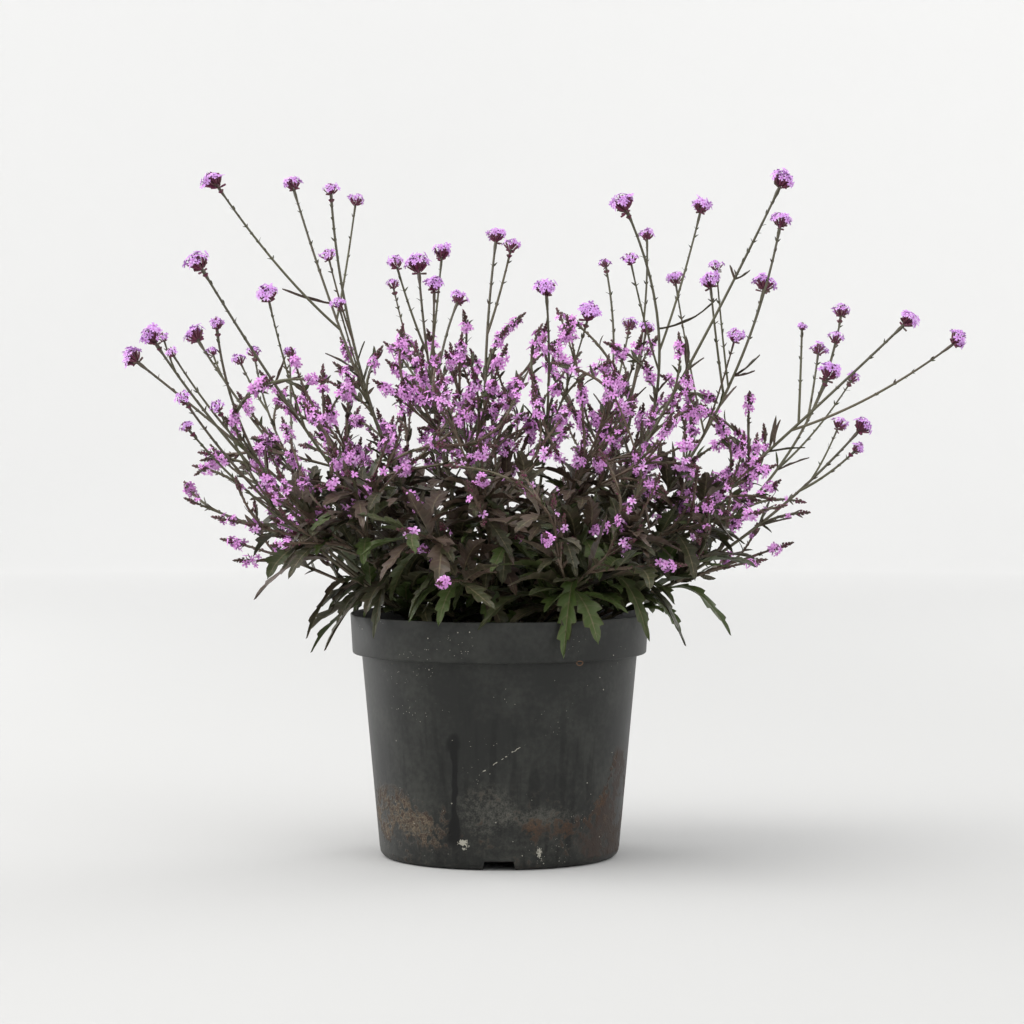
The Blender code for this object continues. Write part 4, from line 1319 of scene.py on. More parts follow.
    def grow_more_spikes(self, rng: random.Random) -> None:
        """More spikes, whose tips fill a rounded block, each from a shoot that points its way.

        The block is wider at its shoulders than an egg: the sum of the shares of its reach, each
        raised to a power above 2, is 1.
        """
        centre, reach = np.array(self.bush_centre), np.array(self.more_reach)
        for direction in self.fan_directions(self.more_spikes, 0.9, self.more_lowest):
            low = direction[2] < self.bare_front - 0.4 * abs(direction[0])
            bare = low and rng.random() < self.bare_share
            if bare and rng.random() < self.skipped_share:
                continue
            points, ways, owners = self.anchors(self.sprays, *self.spike_heights)
            for trial in range(self.more_trials):
                heading = self.wandered(direction, self.more_stray, trial, rng)
                power = self.more_squareness
                scale = (np.abs(heading) ** power).sum() ** (-1 / power)
                tip = centre + heading * reach * scale * rng.uniform(0.6, 1.0)
                gap = tip - points
                length = np.linalg.norm(gap, axis=1)
                facing = (gap * ways).sum(1) / length
                cost = length * (1.6 - facing)
                wrong = (length < self.shortest_spike) | (length > self.more_longest)
                cost[wrong | (facing < self.more_facing)] = np.inf
                best = np.argsort(cost)[int(rng.uniform(0, 6 + trial))]
                if not np.isfinite(cost[best]):
                    continue
                start, way, reach_out = points[best], ways[best], length[best]
                middle = start + way * reach_out * 0.35 + (tip - start) * 0.12
                spray = self.sprays[owners[best]]
                stalk = Shoot(bend(start, middle, tip), self.stalk_radius, self.stalk_tip_radius,
                              Tip.SPIKE, openness=self.bare_openness if bare else 1.0)
                near = stalk.tip_rods()[:3] * np.array([1] * 6 + [self.tip_thinness])
                rods = np.concatenate([stalk.stalk_rods()[2:], near])
                clear = self.in_box(stalk.course) and self.room.is_clear("new spike", rods, 0.0)
                if clear and self.clears_pot(stalk.stalk_rods()):
                    spray.shoots.append(stalk)
                    self.room.add(spray.name, rods)
                    break

    def grow_knee_leaves(self) -> None:
        """The narrow leaves at the knees of tall stems, each moved onto its stem."""
        sprays = {spray.name: spray for spray in self.tall}
        for name, root, arch, end, width in KNEE_LEAVES:
            stem = sprays[f"spray_{name}"].shoots[0]
            spots = at_distances(stem.course, np.arange(0.03, stem.length, 0.001))
            course = np.array([root, arch, end]) * MM
            nearest = np.argmin(np.linalg.norm(spots - course[0], axis=1))
            course = course + spots[nearest] - course[0]
            sprays[f"spray_{name}"].leaves.append(Leaf.curved(*course, width / 2 * MM, 1))

    def grow_crown_leaves(self, rng: random.Random, count: int, heights: tuple[float, float],
                          furthest: float, stretch: float = 1.0) -> None:
        """Toothed leaves all through the lower half of the bush, largest at the crown.

        Args:
            rng: Draws for their places and courses.
            count: How many are tried.
            heights: The least and the greatest height of a root.
            furthest: The greatest distance of a root from the pot's axis.
            stretch: A factor on their length.
        """
        points, ways, owners = self.anchors(self.sprays, *heights)
        fits = np.flatnonzero(np.hypot(points[:, 0], points[:, 1]) < furthest)
        for _ in range(count):
            for _ in range(self.more_trials):
                best = fits[int(rng.uniform(0, len(fits)))]
                spot, way = points[best], ways[best]
                turn = rng.uniform(0, FULL_TURN)
                level = unit(np.cross(way, UP + np.array([0.01, 0, 0])))
                other = np.cross(way, level)
                outward = level * math.cos(turn) + other * math.sin(turn)
                radial = np.array([spot[0], spot[1], 0.0]) / 0.1
                outward = unit(outward + 0.5 * radial)
                length = (0.054 - 0.24 * (spot[2] - 0.156)) * rng.uniform(0.68, 1.1) * stretch
                middle = spot + length * (0.46 * outward + 0.22 * way)
                sag = rng.uniform(0.05, 0.32)
                end = spot + length * (0.84 * outward + 0.2 * way) - UP * length * sag
                spread = math.hypot(end[0], end[1]) > self.spread_reach
                spread = spread and end[2] < self.spread_height
                if spread and rng.random() > self.spread_leaves:
                    continue
                leaf = Leaf.curved(spot, middle, end, length * rng.uniform(0.13, 0.20) / stretch, 2)
                thin = leaf.rods((0.0,)) * np.array([1] * 6 + [self.blade_thinness])
                spray = self.sprays[owners[best]]
                clear = self.in_box(leaf.course) and self.room.is_clear(spray.name, thin[1:], 0.0)
                if clear and self.clears_pot(leaf.rods()):
                    self.room.add(spray.name, thin)
                    spray.leaves.append(leaf)
                    break

    def grow_stem_leaves(self, rng: random.Random) -> None:
        """A narrow leaf or two at the knee of each tall stem."""
        for spray in self.tall:
            stem = spray.shoots[0]
            for share in (0.62, 0.45):
                spot, way = stem.spot_at(share)
                level = level_side(stem.course)
                turn = rng.uniform(0, FULL_TURN)
                other = np.cross(way, level)
                for side in (1, -1):
                    outward = side * (level * math.cos(turn) + other * math.sin(turn))
                    length = rng.uniform(0.014, 0.030)
                    middle = spot + length * (0.30 * outward + 0.42 * way)
                    end = spot + length * (0.62 * outward + 0.72 * way)
                    leaf = Leaf.curved(spot, middle, end, length * rng.uniform(0.045, 0.065), 1)
                    if self.room.is_clear(spray.name, leaf.rods((0.0,)), 0.0):
                        self.room.add(spray.name, leaf.rods((0.0,)))
                        spray.leaves.append(leaf)


def ring_skin(rings: np.ndarray, start: np.ndarray, end: np.ndarray, marks: np.ndarray) -> Skin:
    """A closed skin over rings, each end drawn to a point.

    Args:
        rings: Points, by ring, by place round it, anticlockwise seen from the end.
        start: The point that closes the first ring.
        end: The point that closes the last ring.
        marks: The marks of the ring points, by ring, by place.

    Returns:
        The skin.
    """
    count, sides, _ = rings.shape
    ring, place = np.meshgrid(np.arange(count - 1), np.arange(sides), indexing="ij")
    a = (ring * sides + place).ravel()
    b = (ring * sides + (place + 1) % sides).ravel()
    quads = np.stack([a, b, b + sides, a + sides], axis=1)
    edge = np.arange(sides)
    after = (edge + 1) % sides
    first, last = count * sides, count * sides + 1
    low = np.stack([after, edge, np.full(sides, first)], axis=1)
    high = np.stack([edge, after, np.full(sides, last)], axis=1)
    high[:, :2] += (count - 1) * sides
    points = np.concatenate([rings.reshape(-1, 3), [start, end]])
    flat = marks.reshape(-1, 3)
    marked = np.concatenate([flat, [flat[0], flat[-1]]])
    return Skin(points, quads, np.concatenate([low, high]), marked)


def ring_marks(tone: float, along: np.ndarray, across: np.ndarray) -> np.ndarray:
    """The marks of rings: one tone, along by ring and across by place."""
    shape = len(along), len(across)
    return np.stack([np.full(shape, tone), np.broadcast_to(along[:, None], shape),
                     np.broadcast_to(across[None], shape)], axis=-1)


def turned(profile: list[tuple[float, float]], sides: int) -> Skin:
    """A closed skin turned about Z.

    Args:
        profile: Radii and heights, which start and end on the axis.
        sides: Points to a ring.

    Returns:
        The skin, with blank marks.
    """
    rings = np.array(profile[1:-1])
    turns = FULL_TURN * np.arange(sides) / sides
    circle = np.stack([np.cos(turns), np.sin(turns)], axis=1)
    points = np.zeros((len(rings), sides, 3))
    points[..., :2] = circle[None] * rings[:, 0, None, None]
    points[..., 2] = rings[:, 1, None]
    start, end = (np.array([0.0, 0.0, profile[index][1]]) for index in (0, -1))
    return ring_skin(points, start, end, np.zeros(points.shape))


def even(size: np.ndarray) -> np.ndarray:
    """Sizes that are the same along all three axes."""
    return np.repeat(size[:, None], 3, 1)


def slim(thick: np.ndarray | float, length: np.ndarray | float, count: int) -> np.ndarray:
    """Sizes of slim shapes: as wide as they are deep, and of another length."""
    return np.stack([np.broadcast_to(value, count) for value in (thick, thick, length)], axis=1)


def tube(points: np.ndarray, radii: np.ndarray, side: np.ndarray, tone: float, sides: int = 8,
         ribs: float = 0.13) -> Skin:
    """A stem: rings along a course, each a circle that four ribs raise, as the cosine of 4 turns.

    Args:
        points: The course.
        radii: The radius at each point.
        side: The direction that the first place of each ring is turned to.
        tone: The tone mark.
        sides: Points to a ring.
        ribs: How far the ribs stand out, as a share of the radius.

    Returns:
        The skin.
    """
    along = unit(np.gradient(points, axis=0))
    across = unit(np.cross(along, side))
    level = np.cross(across, along)
    angle = FULL_TURN * np.arange(sides) / sides
    spread = 1 + ribs * np.cos(4 * angle)
    cosine, sine = np.cos(angle)[None, :, None], np.sin(angle)[None, :, None]
    spokes = level[:, None] * cosine + across[:, None] * sine
    rings = points[:, None] + spokes * (radii[:, None] * spread[None])[..., None]
    marks = ring_marks(tone, np.linspace(0, 1, len(points)), spread / spread.max())
    return ring_skin(rings, points[0], points[-1], marks)


@dataclass(frozen=True)
class BladeShape:
    """How a leaf's blade is made: its teeth, its relief and its thickness."""

    teeth: int = 6
    depth: float = 0.46
    lean: float = 0.26
    fold: float = 0.34
    thickness: float = 0.0005
    rib_width: float = 0.15
    rib_sink: float = 0.0003
    rib_height: float = 0.0005
    petiole: float = 0.0007
    toothed_from: float = 0.10
    notch_at: float = 0.88
    columns: tuple[float, ...] = (-1.0, -0.6, -0.16, 0.0, 0.16, 0.6, 1.0)
    stations: tuple[float, ...] = (0.02, 0.36, 0.68, 0.88)

    def skin(self, leaf: Leaf, rng: np.random.Generator, tone: float) -> Skin:
        """The blade as a closed skin.

        Along the leaf the half width swells and tapers as a raised sine, cut back towards each
        notch in a slanting sawtooth. Across it the blade folds up from its rib, and its edge
        waves as a sine along it. The under side lies a thickness below, and meets the edge.

        Args:
            leaf: Its course and its width.
            rng: Draws for its waves and its twist.
            tone: The tone mark.

        Returns:
            The skin.
        """
        notches = np.arange(self.teeth)[:, None] + np.array(self.stations)[None]
        start = self.toothed_from
        share = start + (1 - start) * np.concatenate([notches.ravel() / self.teeth, [0.985]])
        share = np.concatenate([[0.0, 0.06], share])
        run = arc_lengths(leaf.course)[-1]
        middle = at_distances(leaf.course, share * run)
        smooth = np.stack([
            np.convolve(np.pad(middle[:, axis], 1, mode="edge"), [0.25, 0.5, 0.25], "valid")
            for axis in range(3)
        ], axis=1)
        smooth[0], smooth[-1] = middle[0], middle[-1]
        forward = unit(np.gradient(smooth, axis=0))
        level = unit(leaf.across - forward * (forward @ leaf.across)[:, None])
        normal = np.cross(level, forward)
        normal *= np.sign(normal[len(normal) // 3, 2] or 1.0)
        level = np.cross(forward, normal)
        twist = rng.uniform(-0.5, 0.5) * share
        level, normal = (level * np.cos(twist)[:, None] + normal * np.sin(twist)[:, None],
                         normal * np.cos(twist)[:, None] - level * np.sin(twist)[:, None])
        swell = np.clip((share - 0.07) / 0.93, 0, 1)
        base = np.sin(math.pi * swell**0.86) ** 0.75
        phase = np.clip((share - start) / (1 - start), 0, 1) * self.teeth
        saw = phase - np.floor(phase)
        rise = np.where(saw < self.notch_at, saw / self.notch_at, (1 - saw) / (1 - self.notch_at))
        toothed = base * (1 - self.depth * (1 - rise) * (share > start))
        half = np.maximum(leaf.half_width * toothed, self.petiole * (1 - swell))[:, None]
        column = np.array(self.columns)[None]
        side = np.abs(column)
        height, waves, shift = rng.uniform(0.1, 0.3), rng.uniform(1.2, 2.4), rng.uniform()
        wave = height * np.sin(FULL_TURN * (share * waves + shift))
        lift = half * (self.fold * side * (1 - 0.35 * side) + wave[:, None] * side**2)
        rib = np.exp(-(column / self.rib_width) ** 2)
        lift = lift - self.rib_sink * rib
        slide = leaf.half_width * self.lean * (rise * base)[:, None] * side**2
        sheet = (smooth[:, None] + level[:, None] * (half * column)[..., None]
                 + normal[:, None] * lift[..., None] + forward[:, None] * slide[..., None])
        thick = self.thickness * (1 - 0.5 * side) + self.rib_height * rib * (1 - share[:, None])
        under = sheet - normal[:, None] * thick[..., None]
        rings = np.concatenate([sheet, under[:, -2:0:-1]], axis=1)[:, ::-1]
        columns = np.concatenate([np.array(self.columns), np.array(self.columns)[-2:0:-1]])[::-1]
        tip = smooth[-1] + forward[-1] * leaf.half_width * 0.25
        return ring_skin(rings, smooth[0], tip, ring_marks(tone, share, columns))


@dataclass
class Stamps:
    """Copies of a small shape: where each stands, where it points, its size and its marks."""

    places: np.ndarray
    ways: np.ndarray
    sizes: np.ndarray
    tones: np.ndarray
    across: float | None = None

    def skin(self, shape: Skin, rng: np.random.Generator) -> Skin:
        """All copies as one skin, each spun about its own direction by a draw.

        Args:
            shape: The shape, which points up Z from the origin.
            rng: Draws for the spins.

        Returns:
            The skin.
        """
        count = len(self.places)
        up = unit(self.ways)
        helper = np.where(np.abs(up[:, 2:]) < 0.9, UP[None], np.array([[1.0, 0.0, 0.0]]))
        side = unit(np.cross(helper, up))
        other = np.cross(up, side)
        spin = rng.uniform(0, FULL_TURN, count)[:, None]
        first = side * np.cos(spin) + other * np.sin(spin)
        second = np.cross(up, first)
        basis = np.stack([first, second, up], axis=1)
        local = shape.points[None] * self.sizes[:, None]
        points = np.einsum("npk,nkj->npj", local, basis) + self.places[:, None]
        size = len(shape.points)
        start = (size * np.arange(count))[:, None, None]
        marks = np.broadcast_to(shape.marks[None], (count, size, 3)).copy()
        marks[..., 0] = self.tones[:, None]
        if self.across is not None:
            marks[..., 2] = self.across
        return Skin(points.reshape(-1, 3), (shape.quads[None] + start).reshape(-1, 4),
                    (shape.tris[None] + start).reshape(-1, 3), marks.reshape(-1, 3))


@dataclass(frozen=True)
class FloretShape:
    """A floret one unit in radius: five notched petals round a throat, on a short tube."""

    petals: int = 5
    gap: float = 0.34
    notch: float = 0.82
    lobe_turn: float = 0.27
    throat: float = 0.16
    tube: float = 0.9
    notched: bool = True

    def skin(self, droop: float) -> Skin:
        """The floret as a closed skin of triangles.

        Round the rim each petal has a gap, a lobe, a notch and a lobe. The rim falls by droop
        times the square of its radius. The top fans in to the throat, the under side to the tube.

        Args:
            droop: How far the lobes hang.

        Returns:
            The skin, with its along mark from 0 in the throat to 1 at the lobes.
        """
        petals = self.petals
        kept = [0, 1, 2, 3] if self.notched else [0, 1, 3]
        steps = np.array([0, self.lobe_turn, 0.5, 1 - self.lobe_turn])[kept]
        turns = (np.arange(petals)[:, None] + steps).ravel() * FULL_TURN / petals
        radius = np.tile(np.array([self.gap, 1.0, self.notch, 1.0])[kept], petals)
        height = -droop * radius**2 + np.tile(np.array([-0.05, 0.05, 0.10, 0.05])[kept], petals)
        rim = np.stack([radius * np.cos(turns), radius * np.sin(turns), height], axis=1)
        inner = FULL_TURN * np.arange(petals) / petals
        ring = np.stack([np.cos(inner), np.sin(inner), np.zeros(petals)], axis=1) * self.throat
        top = ring + np.array([0, 0, 0.06])
        under = ring * 0.9 - np.array([0, 0, 0.14])
        points = np.concatenate([rim, top, under, [[0, 0, -0.04], [0, 0, -self.tube]]])
        size = len(kept)
        count = size * petals
        heart, tail = count + 2 * petals, count + 2 * petals + 1
        tris = []
        for petal in range(petals):
            edge = [(size * petal + step) % count for step in range(size + 1)]
            near, far = count + petal, count + (petal + 1) % petals
            low, high = near + petals, far + petals
            half = 2
            for step in range(size):
                over, below = (near, low) if step < half else (far, high)
                tris += [(over, edge[step], edge[step + 1]), (below, edge[step + 1], edge[step])]
            tris += [(near, edge[half], far), (low, high, edge[half])]
            tris += [(near, far, heart), (low, tail, high)]
        along = np.concatenate([radius, np.full(petals, 0.12), np.full(petals, 0.25), [0.0, 0.25]])
        marks = np.stack([np.zeros(len(points)), along, np.zeros(len(points))], axis=1)
        return Skin(points, np.zeros((0, 4), int), np.array(tris), marks)


def spindle(heights: tuple[float, ...], radii: tuple[float, ...], sides: int = 4,
            start: float = 0.0, end: float = 1.0) -> Skin:
    """A small closed shape turned about Z, from rings at heights, drawn to points at both ends.

    Args:
        heights: The height of each ring.
        radii: The radius of each ring.
        sides: Points to a ring.
        start: The height of the first point.
        end: The height of the last point.

    Returns:
        The skin, with its along mark as its height.
    """
    made = turned([(0.0, start), *zip(radii, heights), (0.0, end)], sides)
    made.marks[:, 1] = [*np.repeat(heights, sides), heights[0], heights[-1]]
    return made


def bract_shape() -> Skin:
    """A small narrow leaf one unit long that curves away, as rings of a flat diamond."""
    share = np.array([0.05, 0.3, 0.6, 0.88])
    half = 0.14 * np.sin(math.pi * share**0.8) ** 0.8 + 0.015
    middle = np.stack([0.35 * share**2, np.zeros(4), share], axis=1)
    flat = np.array([[0, -1.0, 0], [0.12, 0, 0], [0, 1.0, 0], [-0.16, 0, 0]])
    lift = np.array([0.06, 0, 0.06, 0])[None, :, None] * np.array([-1.0, 0, 0])
    rings = middle[:, None] + flat[None] * half[:, None, None] + lift * 0.6
    marks = np.zeros(rings.shape)
    marks[..., 1] = share[:, None]
    marks[..., 2] = np.array([-1.0, 0.0, 1.0, 0.0])[None]
    return ring_skin(rings[:, ::-1], np.zeros(3), np.array([0.35, 0, 1.0]), marks[:, ::-1])


@dataclass
class Flowers:
    """The stamps of one spray or one bloom, by what they are copies of."""

    florets: list[Stamps] = field(default_factory=list)
    calyces: list[Stamps] = field(default_factory=list)
    buds: list[Stamps] = field(default_factory=list)


def around(axis: np.ndarray, turns: np.ndarray) -> np.ndarray:
    """Directions square to an axis, at turns about it."""
    side = unit(np.cross(axis, UP + np.array([0.013, 0.007, 0])))
    other = np.cross(axis, side)
    return side[None] * np.cos(turns)[:, None] + other[None] * np.sin(turns)[:, None]


@dataclass(frozen=True)
class HeadShape:
    """A round head: florets over a dome, a calyx under each, and more calyces below."""

    dense: float = 0.25
    least: int = 5
    spread: float = math.radians(97)
    top: float = 0.74
    reach: tuple[float, float] = (0.66, 1.08)
    floret_sizes: tuple[float, float] = (0.0020, 0.0029)
    floret_tilt: float = 0.34
    calyx_widths: tuple[float, float] = (0.00042, 0.0007)
    lower_widths: tuple[float, float] = (0.00045, 0.00072)
    whorl_share: float = 0.35
    whorl_calyces: int = 6
    whorl_below: float = 0.0035
    whorl_size: tuple[float, float] = (0.0006, 0.0028)
    bud_size: tuple[float, float] = (0.00055, 0.0016)

    def flowers(self, shoot: Shoot, rng: np.random.Generator) -> Flowers:
        """The flowers of a shoot's head.

        Florets stand at golden turns, even in area from the top of an egg-shaped dome down to
        its skirt. Each calyx runs from the end of the stalk towards its floret.

        Args:
            shoot: The shoot that carries the head.
            rng: Draws for their spread.

        Returns:
            The stamps.
        """
        radius, axis, middle = shoot.width / 2, shoot.axis, shoot.course[-1]
        count = self.least + round(self.dense * (radius / MM) ** 2)
        steps = (np.arange(count) + 0.5) / count
        rise = 1 - steps * (1 - math.cos(self.spread))
        flat = np.sqrt(1 - rise**2)
        out = around(axis, GOLDEN_TURN * np.arange(count) + rng.uniform(0, FULL_TURN))
        reach = rng.uniform(*self.reach, count)[:, None]
        dome = out * flat[:, None] + axis[None] * (rise * self.top - 0.02)[:, None]
        places = middle + radius * dome * reach
        facing = out * flat[:, None] + axis[None] * (rise * 0.9 + 0.35)[:, None]
        facing = unit(facing) + rng.normal(0, self.floret_tilt, (count, 3))
        size = np.clip(radius * 0.40, *self.floret_sizes) * rng.uniform(0.8, 1.15, count)
        florets = Stamps(places, facing, even(size), rng.uniform(0, 1, count), 0.15)
        base = middle - axis * radius * 0.92
        roots = base + (places - base) * rng.uniform(0.18, 0.34, count)[:, None]
        towards = places - roots
        length = np.linalg.norm(towards, axis=1) * 0.80
        thick = np.clip(radius * 0.095, *self.calyx_widths) * rng.uniform(0.85, 1.2, count)
        calyces = Stamps(roots, towards, slim(thick, length, count), rng.uniform(0, 0.45, count))
        lower = max(5, count // 2)
        skirt = around(axis, GOLDEN_TURN * np.arange(lower) + 1.0)
        ways = skirt + axis * rng.uniform(-0.15, 0.75, lower)[:, None]
        roots = base + axis * radius * rng.uniform(0.0, 0.5, lower)[:, None]
        length = radius * rng.uniform(0.42, 0.72, lower)
        thick = np.clip(radius * 0.10, *self.lower_widths)
        below = Stamps(roots, ways, slim(thick, length, lower), rng.uniform(0, 0.7, lower))
        whorl = self.whorl_calyces if rng.uniform() < self.whorl_share else 0
        out = around(axis, GOLDEN_TURN * np.arange(whorl))
        roots = np.tile(middle - axis * (radius + self.whorl_below), (whorl, 1))
        sizes = slim(*self.whorl_size, whorl)
        second = Stamps(roots, out * 0.75 + axis, sizes, rng.uniform(0, 0.6, whorl))
        heart = max(4, count // 4)
        spots = around(axis, GOLDEN_TURN * np.arange(heart)) * rng.uniform(0, 0.3, heart)[:, None]
        places = middle + radius * (spots + axis[None] * 0.42)
        ways = spots + axis[None] * 0.8
        buds = Stamps(places, ways, slim(*self.bud_size, heart), rng.uniform(0, 0.3, heart))
        return Flowers([florets], [calyces, below, second], [buds])


@dataclass(frozen=True)
class SpikeShape:
    """A slim spike: a cone of buds, open florets below it, and bare calyces down the stalk."""

    cone: float = 0.0088
    cone_radius: float = 0.0018
    cone_buds: int = 18
    florets: tuple[int, int] = (5, 13)
    open_to: float = 0.0185
    calyces_per_metre: float = 700.0
    calyx_run: tuple[float, float] = (0.014, 0.040)
    tube_lengths: tuple[float, float] = (0.0026, 0.0042)
    floret_sizes: tuple[float, float] = (0.0023, 0.0034)
    cup_size: tuple[float, float] = (0.0005, 0.0027)
    spent_size: tuple[float, float] = (0.00052, 0.0025)

    def flowers(self, shoot: Shoot, rng: np.random.Generator) -> Flowers:
        """The flowers of a shoot's spike, all at golden turns about its stalk.

        Args:
            shoot: The shoot that carries the spike.
            rng: Draws for their number and spread.

        Returns:
            The stamps.
        """
        axis = shoot.axis
        below = np.linspace(0.0004, self.cone, self.cone_buds)
        out = around(axis, GOLDEN_TURN * np.arange(self.cone_buds))
        swell = self.cone_radius * (below / self.cone) ** 0.7 * 0.75
        places = at_distances(shoot.course, shoot.length - below) + out * swell[:, None]
        width, length = (base + more * below / self.cone
                         for base, more in ((0.0005, 0.0004), (0.0016, 0.0010)))
        sizes = slim(width, length, self.cone_buds)
        ways = axis[None] + out * 0.42
        buds = Stamps(places - ways * 0.0006, ways, sizes, rng.uniform(0.1, 0.75, self.cone_buds))
        count = round(rng.integers(*self.florets) * shoot.openness)
        below = np.sort(rng.uniform(self.cone * 0.9, self.open_to, count))
        out = around(axis, GOLDEN_TURN * np.arange(count) + rng.uniform(0, FULL_TURN))
        stalk = at_distances(shoot.course, shoot.length - below)
        ways = out + axis[None] * rng.uniform(0.3, 0.9, count)[:, None]
        throat = stalk + unit(ways) * rng.uniform(*self.tube_lengths, count)[:, None]
        facing = unit(ways) + rng.normal(0, 0.25, (count, 3))
        size = even(rng.uniform(*self.floret_sizes, count))
        florets = Stamps(throat, facing, size, rng.uniform(0, 1, count), 0.85)
        cups = Stamps(stalk, ways, slim(*self.cup_size, count), rng.uniform(0.1, 0.6, count))
        run = min(rng.uniform(*self.calyx_run), shoot.length * 0.55)
        number = int(run * self.calyces_per_metre)
        below = self.cone + np.linspace(0, run, number)
        out = around(axis, GOLDEN_TURN * np.arange(number))
        stalk = at_distances(shoot.course, shoot.length - below)
        places = stalk + out * 0.0004
        ways = out * 0.5 + axis[None]
        sizes = slim(*self.spent_size, number) * rng.uniform(0.8, 1.15, number)[:, None]
        spent = Stamps(places, ways, sizes, rng.uniform(0.2, 1.0, number))
        return Flowers([florets], [], [buds, cups, spent])


@dataclass
class Foliage:
    """The fine pieces of every spray: stems, leaves, calyces and florets, and the blooms."""

    growth: Growth
    head: HeadShape = HeadShape()
    spike: SpikeShape = SpikeShape()
    ring_step: float = 0.0045
    node_swell: float = 0.25
    node_reach: float = 0.0022
    bract_step: float = 0.0068
    bract_run: float = 0.050
    bract_lengths: tuple[float, float] = (0.0022, 0.0042)
    pair_lengths: tuple[float, float] = (0.004, 0.010)
    main_stretch: float = 1.8
    stem_thinness: float = 0.92
    tone_heights: tuple[float, float] = (0.150, 0.225)
    tones: tuple[float, float] = (0.12, 0.75)
    tone_spread: float = 0.26
    long_leaf: float = 0.03
    box_margin: float = 0.0030
    blade_sharp: float = 70
    seed: int = 3

    def __post_init__(self) -> None:
        """Makes the finishes and the small shapes."""
        self.stem_finish = StemFinish().material()
        self.leaf_finish = LeafFinish().material()
        self.calyx_finish = CalyxFinish().material()
        self.floret_finish = FloretFinish().material()
        self.head_floret = FloretShape().skin(0.16)
        self.spike_floret = FloretShape(notched=False).skin(0.16)
        self.calyx = spindle((0.0, 0.5, 1.0), (0.4, 1.0, 1.0), end=0.86)
        self.bud = spindle((0.45,), (1.0,))
        self.bract = bract_shape()
        self.rng = np.random.default_rng(self.seed)

    def stem(self, shoot: Shoot, tone: float, nodes: list[float]) -> Skin:
        """A shoot's stalk, a little swollen at its nodes.

        Args:
            shoot: The shoot.
            tone: The tone mark.
            nodes: The distances of its nodes from its root.

        Returns:
            The skin.
        """
        end = shoot.length - (shoot.width / 2 * 0.6 if shoot.tip is Tip.HEAD else 0.0008)
        run = np.linspace(0, end, max(6, int(end / self.ring_step)))
        radii = shoot.radius_at(run) * self.stem_thinness
        for node in nodes:
            radii = radii * (1 + self.node_swell * np.exp(-((run - node) / self.node_reach) ** 2))
        if shoot.tip is Tip.HEAD:
            near = shoot.length - shoot.width / 2
            radii = radii * (1 + 0.9 * np.exp(-((run - near) / (shoot.width * 0.22)) ** 2))
        return tube(at_distances(shoot.course, run), radii, level_side(shoot.course), tone)

    def bracts(self, shoot: Shoot, main: bool) -> tuple[Stamps, list[float]]:
        """Pairs of small narrow leaves on a shoot, each pair square to the last.

        Args:
            shoot: The shoot.
            main: Whether it is its spray's own stem.

        Returns:
            Their stamps, and the distances of the larger pairs from the shoot's root.
        """
        nodes: list[float] = []
        if shoot.tip is Tip.HEAD:
            run = min(self.bract_run, shoot.length * 0.6)
            pairs = shoot.length - shoot.width - np.arange(0.002, run, self.bract_step)
            length = self.rng.uniform(*self.bract_lengths, 2 * len(pairs))
        else:
            low = 0.30 if main else 0.06
            nodes = list(shoot.length * np.linspace(low, 0.70, 5 if main else 3))
            pairs = np.array(nodes)
            length = self.rng.uniform(*self.pair_lengths, 2 * len(pairs))
            if main:
                length = length * self.main_stretch
        pairs = np.repeat(pairs + self.rng.uniform(-0.001, 0.001, len(pairs)), 2)
        turns = np.arange(len(pairs)) // 2 * math.pi / 2 + np.arange(len(pairs)) % 2 * math.pi
        out = around(shoot.axis, turns + self.rng.uniform(0, FULL_TURN))
        places = at_distances(shoot.course, pairs)
        ahead = unit(at_distances(shoot.course, pairs + 0.003) - places)
        ways = ahead * self.rng.uniform(1.1, 2.2, len(pairs))[:, None] + out
        wide = length * self.rng.uniform(0.8, 1.2, len(pairs))
        sizes = np.stack([length, wide, length], axis=1)
        return Stamps(places, ways, sizes, self.rng.uniform(0.2, 1.0, len(pairs))), nodes

    def leaf_tone(self, leaf: Leaf) -> float:
        """A leaf's tone: greener near the crown and bronze further out, with a wide spread."""
        height = float(leaf.course[4, 2])
        share = np.interp(height, self.tone_heights, self.tones)
        return float(np.clip(self.rng.normal(share, self.tone_spread), 0, 1))

    def leaf_skin(self, leaf: Leaf) -> Skin:
        """A leaf's blade, with more teeth the longer it is."""
        length = arc_lengths(leaf.course)[-1]
        tone = self.leaf_tone(leaf)
        if leaf.teeth == 3:
            return BladeShape(teeth=5).skin(leaf, self.rng, tone)
        if leaf.teeth == 1:
            columns = (-1.0, -0.4, 0.0, 0.4, 1.0)
            few = BladeShape(teeth=2, depth=0.12, columns=columns, thickness=0.0004)
            return few.skin(leaf, self.rng, tone)
        teeth = 4 if length > self.long_leaf else 3
        some = BladeShape(teeth=teeth, columns=(-1.0, -0.5, 0.0, 0.5, 1.0))
        return some.skin(leaf, self.rng, tone)

